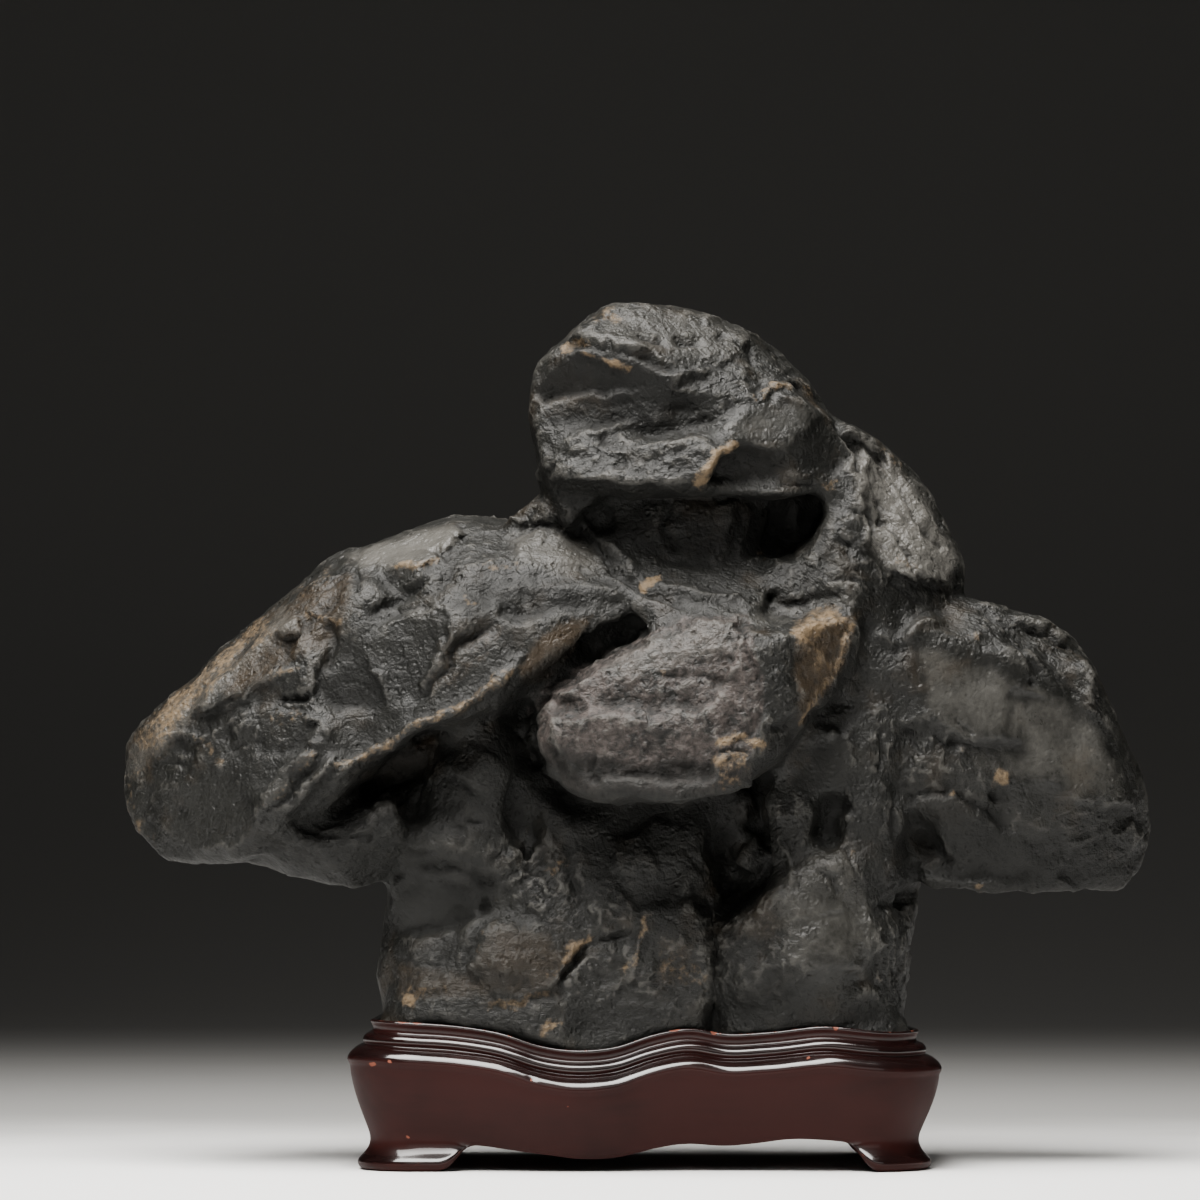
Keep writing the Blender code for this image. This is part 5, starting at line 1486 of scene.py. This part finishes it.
def smooth_wave(knots):
    """A soft curve through the points, as many short spans."""
    places = np.array([knot[0] for knot in knots], float)
    heights = np.array([knot[1] for knot in knots], float)
    slopes = np.gradient(heights, places)
    fine = np.linspace(places[0], places[-1], 240)
    span = np.clip(np.searchsorted(places, fine, side="right") - 1, 0, len(places) - 2)
    length = places[span + 1] - places[span]
    t = (fine - places[span]) / length
    curve = (
        heights[span] * (2 * t**3 - 3 * t**2 + 1)
        + slopes[span] * length * (t**3 - 2 * t**2 + t)
        + heights[span + 1] * (3 * t**2 - 2 * t**3)
        + slopes[span + 1] * length * (t**3 - t**2)
    )
    return fine, curve


def stations_round_lip():
    """Places round the lip: x, y, the way out in x and in y, and how much they face the front."""
    half_x = LIP_HALF_LENGTH - CORNER_RADIUS
    half_y = LIP_HALF_DEPTH - CORNER_RADIUS
    sides = (
        (half_x, -half_y, -1.0, 0.0, LONG_SPANS, 270.0),
        (-half_x, -half_y, 0.0, 1.0, SHORT_SPANS, 180.0),
        (-half_x, half_y, 1.0, 0.0, LONG_SPANS, 90.0),
        (half_x, half_y, 0.0, -1.0, SHORT_SPANS, 0.0),
    )
    stations = []
    for from_x, from_y, step_x, step_y, spans, facing in sides:
        length = 2.0 * (half_x if step_x else half_y)
        for span in range(spans + CORNER_SPANS):
            run = min(span / spans, 1.0) * length
            turn = math.radians(facing - 90.0 * max(span - spans, 0) / CORNER_SPANS)
            out_x, out_y = math.cos(turn), math.sin(turn)
            x = from_x + step_x * run + out_x * CORNER_RADIUS
            y = from_y + step_y * run + out_y * CORNER_RADIUS
            stations.append((x, y, out_x, out_y))
    return stations


class StandPlan:
    """The stations round the stand, with the heights of the rim and the apron at each."""

    def __init__(self):
        self.stations = stations_round_lip()
        self.rims = []
        self.aprons = []
        self.feet = []
        for x, y, _, _ in self.stations:
            back = float(soft_step(-LIP_HALF_DEPTH, LIP_HALF_DEPTH, y))
            front_rim = wave_height(RIM_FRONT, x)
            self.rims.append(front_rim + (wave_height(RIM_BACK, x) - front_rim) * back)
            self.aprons.append(wave_height(APRON, x))
            along = max(
                float(soft_step(LEFT_FOOT_END + FOOT_RISE, LEFT_FOOT_END, x)),
                float(soft_step(RIGHT_FOOT_END - FOOT_RISE, RIGHT_FOOT_END, x)),
            )
            inner = LIP_HALF_DEPTH - FOOT_DEPTH
            self.feet.append(along * float(soft_step(inner - FOOT_RISE, inner, abs(y))))

    def ring(self, place_of):
        """The points of one ring, from how far out and how high each station is."""
        points = []
        for number, (x, y, out_x, out_y) in enumerate(self.stations):
            out, height = place_of(number)
            turn = (x + PLAN_WAVE_START) / PLAN_WAVE_LENGTH * 2.0 * math.pi
            wave = WAVE_IN_PLAN * max(0.0, -out_y) * math.cos(turn)
            place = (x + STAND_MIDDLE + out_x * out, y + out_y * out - wave + PLANE_DEPTH, height)
            points.append(Vector(place) * MM)
        return points

    def rings(self):
        """Every ring from the recess's floor over the lip to the underside: points, how rubbed, how dull."""
        made = [
            (self.ring(lambda n: (-LIP_WIDTH - SEAT_REACH, SEAT_HEIGHT)), 0.0, 0.0),
            (self.ring(lambda n: (-LIP_WIDTH, SEAT_HEIGHT)), 0.0, 0.0),
            (self.ring(lambda n: (-LIP_WIDTH, self.rims[n] - SEAT_WALL_DROP)), 0.0, 0.0),
        ]
        for out, drop, rub in MOULDING:
            in_cove = COVE[0] < drop < COVE[1]
            dull = COVE_DULLNESS if in_cove else float(np.interp(drop, LIP_FACE, (0.0, 1.0)))
            made.append((self.ring(lambda n: (out, self.rims[n] - drop)), rub, dull))
        shoulder = MOULDING[-1][1]
        for out, share in WALL:
            made.append((self.ring(lambda n: (out, self.on_wall(n, shoulder, share))), 0.0, 1.0))
        for step, (out, height, rub, apron_out) in enumerate(FOOT):
            rise = max(0.0, APRON_ROUNDING - APRON_ROUNDING_STEP * step)
            dull = 1.0 if step >= FOOT_SOLE else max(0.0, 1.0 - FOOT_DULL_STEP * step)
            made.append((self.ring(lambda n: self.on_foot(n, out, height, apron_out, rise)), rub, dull))
        made.append((self.ring(lambda n: (-UNDERSIDE_REACH, UNDERSIDE_HEIGHT)), 0.0, 0.0))
        return made

    def on_wall(self, number, shoulder, share):
        """The height of the wall at this station, this share of the way down."""
        top = self.rims[number] - shoulder
        foot_top = FOOT[0][1] + ABOVE_FOOT
        bottom = self.aprons[number] + ABOVE_APRON
        bottom += (foot_top - bottom) * self.feet[number]
        return top + (bottom - top) * share

    def on_foot(self, number, out, height, apron_out, rise):
        """How far out and how high the foot is at this station, or the apron's edge between the feet."""
        foot = self.feet[number]
        apron = self.aprons[number] + rise
        return apron_out + (out - apron_out) * foot, apron + (height - apron) * foot


def build_stand(look, view):
    """The finished stand, drawn out ring by ring."""
    plan = StandPlan()
    rings = plan.rings()
    deselect()
    bpy.ops.mesh.primitive_circle_add(vertices=len(plan.stations), radius=LIP_HALF_LENGTH * MM)
    piece = bpy.context.active_object
    piece.name = "lacquered_stand"
    bpy.ops.object.mode_set(mode="EDIT")
    bm = bmesh.from_edit_mesh(piece.data)
    station = bm.verts.layers.int.new("station")
    for name in ("rub", "wall"):
        bm.verts.layers.float.new(name)
    for number, vert in enumerate(bm.verts):
        vert[station] = number
    place_ring(bm, *rings[0])
    bmesh.update_edit_mesh(piece.data)
    bpy.ops.mesh.select_all(action="SELECT")
    bpy.ops.mesh.fill()
    for ring in rings[1:]:
        select_border(piece)
        bpy.ops.mesh.extrude_edges_move()
        bm = bmesh.from_edit_mesh(piece.data)
        place_ring(bm, *ring)
        bmesh.update_edit_mesh(piece.data)
    select_border(piece)
    bpy.ops.mesh.fill()
    bpy.ops.mesh.select_all(action="SELECT")
    bpy.ops.mesh.normals_make_consistent(inside=False)
    bpy.ops.object.mode_set(mode="OBJECT")
    apply(piece, "SUBSURF", levels=1, render_levels=1)
    wear_stand(piece, view)
    make_active(piece)
    bpy.ops.object.shade_smooth()
    piece.data.materials.append(lacquer_material(look))
    return piece


def place_ring(bm, points, rub, wall):
    """Puts the selected ring's points in their places."""
    station = bm.verts.layers.int["station"]
    rub_layer = bm.verts.layers.float["rub"]
    wall_layer = bm.verts.layers.float["wall"]
    for vert in bm.verts:
        if vert.select:
            vert.co = points[vert[station]]
            vert[rub_layer] = rub
            vert[wall_layer] = wall


def select_border(piece):
    """Selects only the open edge of the mesh."""
    bpy.ops.mesh.select_all(action="DESELECT")
    bm = bmesh.from_edit_mesh(piece.data)
    for edge in bm.edges:
        if edge.is_boundary:
            edge.select_set(True)
    bmesh.update_edit_mesh(piece.data)


def wear_stand(piece, view):
    """A hand-cut unevenness, and where the lacquer is dull, rubbed and chipped."""
    carving = Carving(piece.data, view)
    carving.look()
    points = carving.points
    uneven = waves(points, 14.0, 501) * 0.16 + waves(points, 5.0, 502) * 0.05
    above_floor = soft_step(0.3, 2.5, points[:, 2])
    chipped = np.zeros(len(points))
    for across, up, size in CHIPS:
        gap = np.linalg.norm(carving.seen - (across, up), axis=1)
        chipped = np.maximum(chipped, soft_step(size * 1.5, size * 0.4, gap) * carving.shows)
    leaning_down = soft_step(-0.05, -0.35, carving.normals[:, 2])
    store(piece, "wall", np.maximum(stored(piece, "wall"), leaning_down))
    store(piece, "rub", np.clip(stored(piece, "rub") * 0.75 + chipped * 1.4, 0.0, 1.6))
    carving.points += carving.normals * (uneven * above_floor - CHIP_DEPTH * chipped)[:, None]
    carving.write()


# ---------------------------------------------------------------- the stage

WARM_LIGHT = (1.0, 0.975, 0.94)
SWEEP_HALF_WIDTH = 3.0
SWEEP_BACK = 1.2
SWEEP_RADIUS = 0.8
SWEEP_STEPS = 14
SWEEP_HEIGHT = 2.5
WORLD_COLOUR = (0.034, 0.034, 0.034, 1.0)
# Lights: name, place, aim, width and depth in metres, the property with its power, spread in degrees
LIGHTS = (
    ("overhead", (-0.15, -0.26, 0.84), (-0.02, -0.02, 0.1), 0.60, 0.70, "key_strength", 100.0),
    ("front_fill", (0.15, -1.6, 0.95), (0.0, 0.0, 0.12), 1.6, 0.8, "fill_strength", 150.0),
    ("backdrop_light", (0.0, 1.0, 2.4), (0.0, 2.0, 0.5), 2.0, 0.8, "backdrop_strength", 150.0),
)


def add_sweep(look):
    """The floor, curving up behind into the backdrop."""
    bpy.ops.mesh.primitive_plane_add(size=2.0 * SWEEP_HALF_WIDTH)
    sweep = bpy.context.active_object
    sweep.name = "floor"
    bpy.ops.object.mode_set(mode="EDIT")
    bm = bmesh.from_edit_mesh(sweep.data)
    for vert in bm.verts:
        vert.co.y = SWEEP_BACK if vert.co.y > 0.0 else -SWEEP_HALF_WIDTH
    bmesh.update_edit_mesh(sweep.data)
    bpy.ops.mesh.select_all(action="DESELECT")
    for edge in bm.edges:
        edge.select_set(all(vert.co.y > 0.0 for vert in edge.verts))
    bmesh.update_edit_mesh(sweep.data)
    for step in range(SWEEP_STEPS):
        rise = math.radians(90.0 * (step + 0.5) / SWEEP_STEPS)
        length = SWEEP_RADIUS * math.radians(90.0) / SWEEP_STEPS
        bpy.ops.mesh.extrude_edges_move(
            TRANSFORM_OT_translate={"value": (0.0, length * math.cos(rise), length * math.sin(rise))}
        )
    bpy.ops.mesh.extrude_edges_move(TRANSFORM_OT_translate={"value": (0.0, 0.0, SWEEP_HEIGHT)})
    bpy.ops.mesh.select_all(action="SELECT")
    bpy.ops.mesh.normals_make_consistent(inside=False)
    bpy.ops.object.mode_set(mode="OBJECT")
    bpy.ops.object.shade_smooth()
    sweep.data.materials.append(sweep_material(look))


def add_area_light(name, place, aim, width, depth, power, spread):
    """A soft rectangular light."""
    deselect()
    turn = (Vector(aim) - Vector(place)).to_track_quat("-Z", "Y").to_euler()
    bpy.ops.object.light_add(type="AREA", location=place, rotation=turn)
    light = bpy.context.active_object
    light.name = name
    light.data.shape = "RECTANGLE"
    light.data.size = width
    light.data.size_y = depth
    light.data.energy = power
    light.data.color = WARM_LIGHT
    light.data.spread = math.radians(spread)


# ---------------------------------------------------------------- operators


class SCHOLARS_ROCK_OT_stone(bpy.types.Operator):
    """Carve the stone over its solid"""

    bl_idname = "scholars_rock.stone"
    bl_label = "Stone"

    def execute(self, context):
        piece = build_stone(context.scene.stone_look, front_view(context.scene.view_look))
        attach(piece, BODY)
        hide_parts(STONE_NODE)
        return {"FINISHED"}


class SCHOLARS_ROCK_OT_stand(bpy.types.Operator):
    """Turn the stand's mouldings and feet from a ring, and lacquer them"""

    bl_idname = "scholars_rock.stand"
    bl_label = "Stand"

    def execute(self, context):
        piece = build_stand(context.scene.stand_look, front_view(context.scene.view_look))
        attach(piece, BODY)
        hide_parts(STAND_NODE)
        return {"FINISHED"}


class SCHOLARS_ROCK_OT_stage(bpy.types.Operator):
    """Set the floor, the backdrop, the lights and the camera"""

    bl_idname = "scholars_rock.stage"
    bl_label = "Stage"

    def execute(self, context):
        look = context.scene.view_look
        deselect()
        add_sweep(look)
        for name, place, aim, width, depth, strength, spread in LIGHTS:
            add_area_light(name, place, aim, width, depth, getattr(look, strength), spread)
        world = bpy.data.worlds.new("studio")
        world.use_nodes = True
        world.node_tree.nodes["Background"].inputs["Color"].default_value = WORLD_COLOUR
        context.scene.world = world

        deselect()
        bpy.ops.object.camera_add(
            location=Vector(front_view(look).eye) * MM, rotation=(math.radians(90.0 - look.elevation), 0.0, 0.0)
        )
        camera = context.active_object
        camera.name = "camera"
        camera.data.sensor_width = SENSOR
        camera.data.lens = SENSOR * look.distance / (FRAME_WIDTH * MM)
        context.scene.camera = camera
        return {"FINISHED"}


class SCHOLARS_ROCK_PT_panel(bpy.types.Panel):
    """The three operators, in the sidebar."""

    bl_idname = "SCHOLARS_ROCK_PT_panel"
    bl_label = "Scholar's Rock"
    bl_space_type = "VIEW_3D"
    bl_region_type = "UI"
    bl_category = "Scholar's Rock"

    def draw(self, context):
        for operator in (SCHOLARS_ROCK_OT_stage, SCHOLARS_ROCK_OT_stand, SCHOLARS_ROCK_OT_stone):
            self.layout.operator(operator.bl_idname)


CLASSES = (
    ViewLook,
    StoneLook,
    StandLook,
    SCHOLARS_ROCK_OT_stone,
    SCHOLARS_ROCK_OT_stand,
    SCHOLARS_ROCK_OT_stage,
    SCHOLARS_ROCK_PT_panel,
)


def register():
    """Adds the classes and the properties to Blender."""
    for each in CLASSES:
        bpy.utils.register_class(each)
    bpy.types.Scene.view_look = PointerProperty(type=ViewLook)
    bpy.types.Scene.stone_look = PointerProperty(type=StoneLook)
    bpy.types.Scene.stand_look = PointerProperty(type=StandLook)


def unregister():
    """Takes the classes and the properties away again."""
    del bpy.types.Scene.stand_look
    del bpy.types.Scene.stone_look
    del bpy.types.Scene.view_look
    for each in reversed(CLASSES):
        bpy.utils.unregister_class(each)


def main():
    """Makes the stone, the stand and the stage."""
    register()
    bpy.ops.scholars_rock.stage()
    bpy.ops.scholars_rock.stand()
    bpy.ops.scholars_rock.stone()


if __name__ == "__main__":
    main()
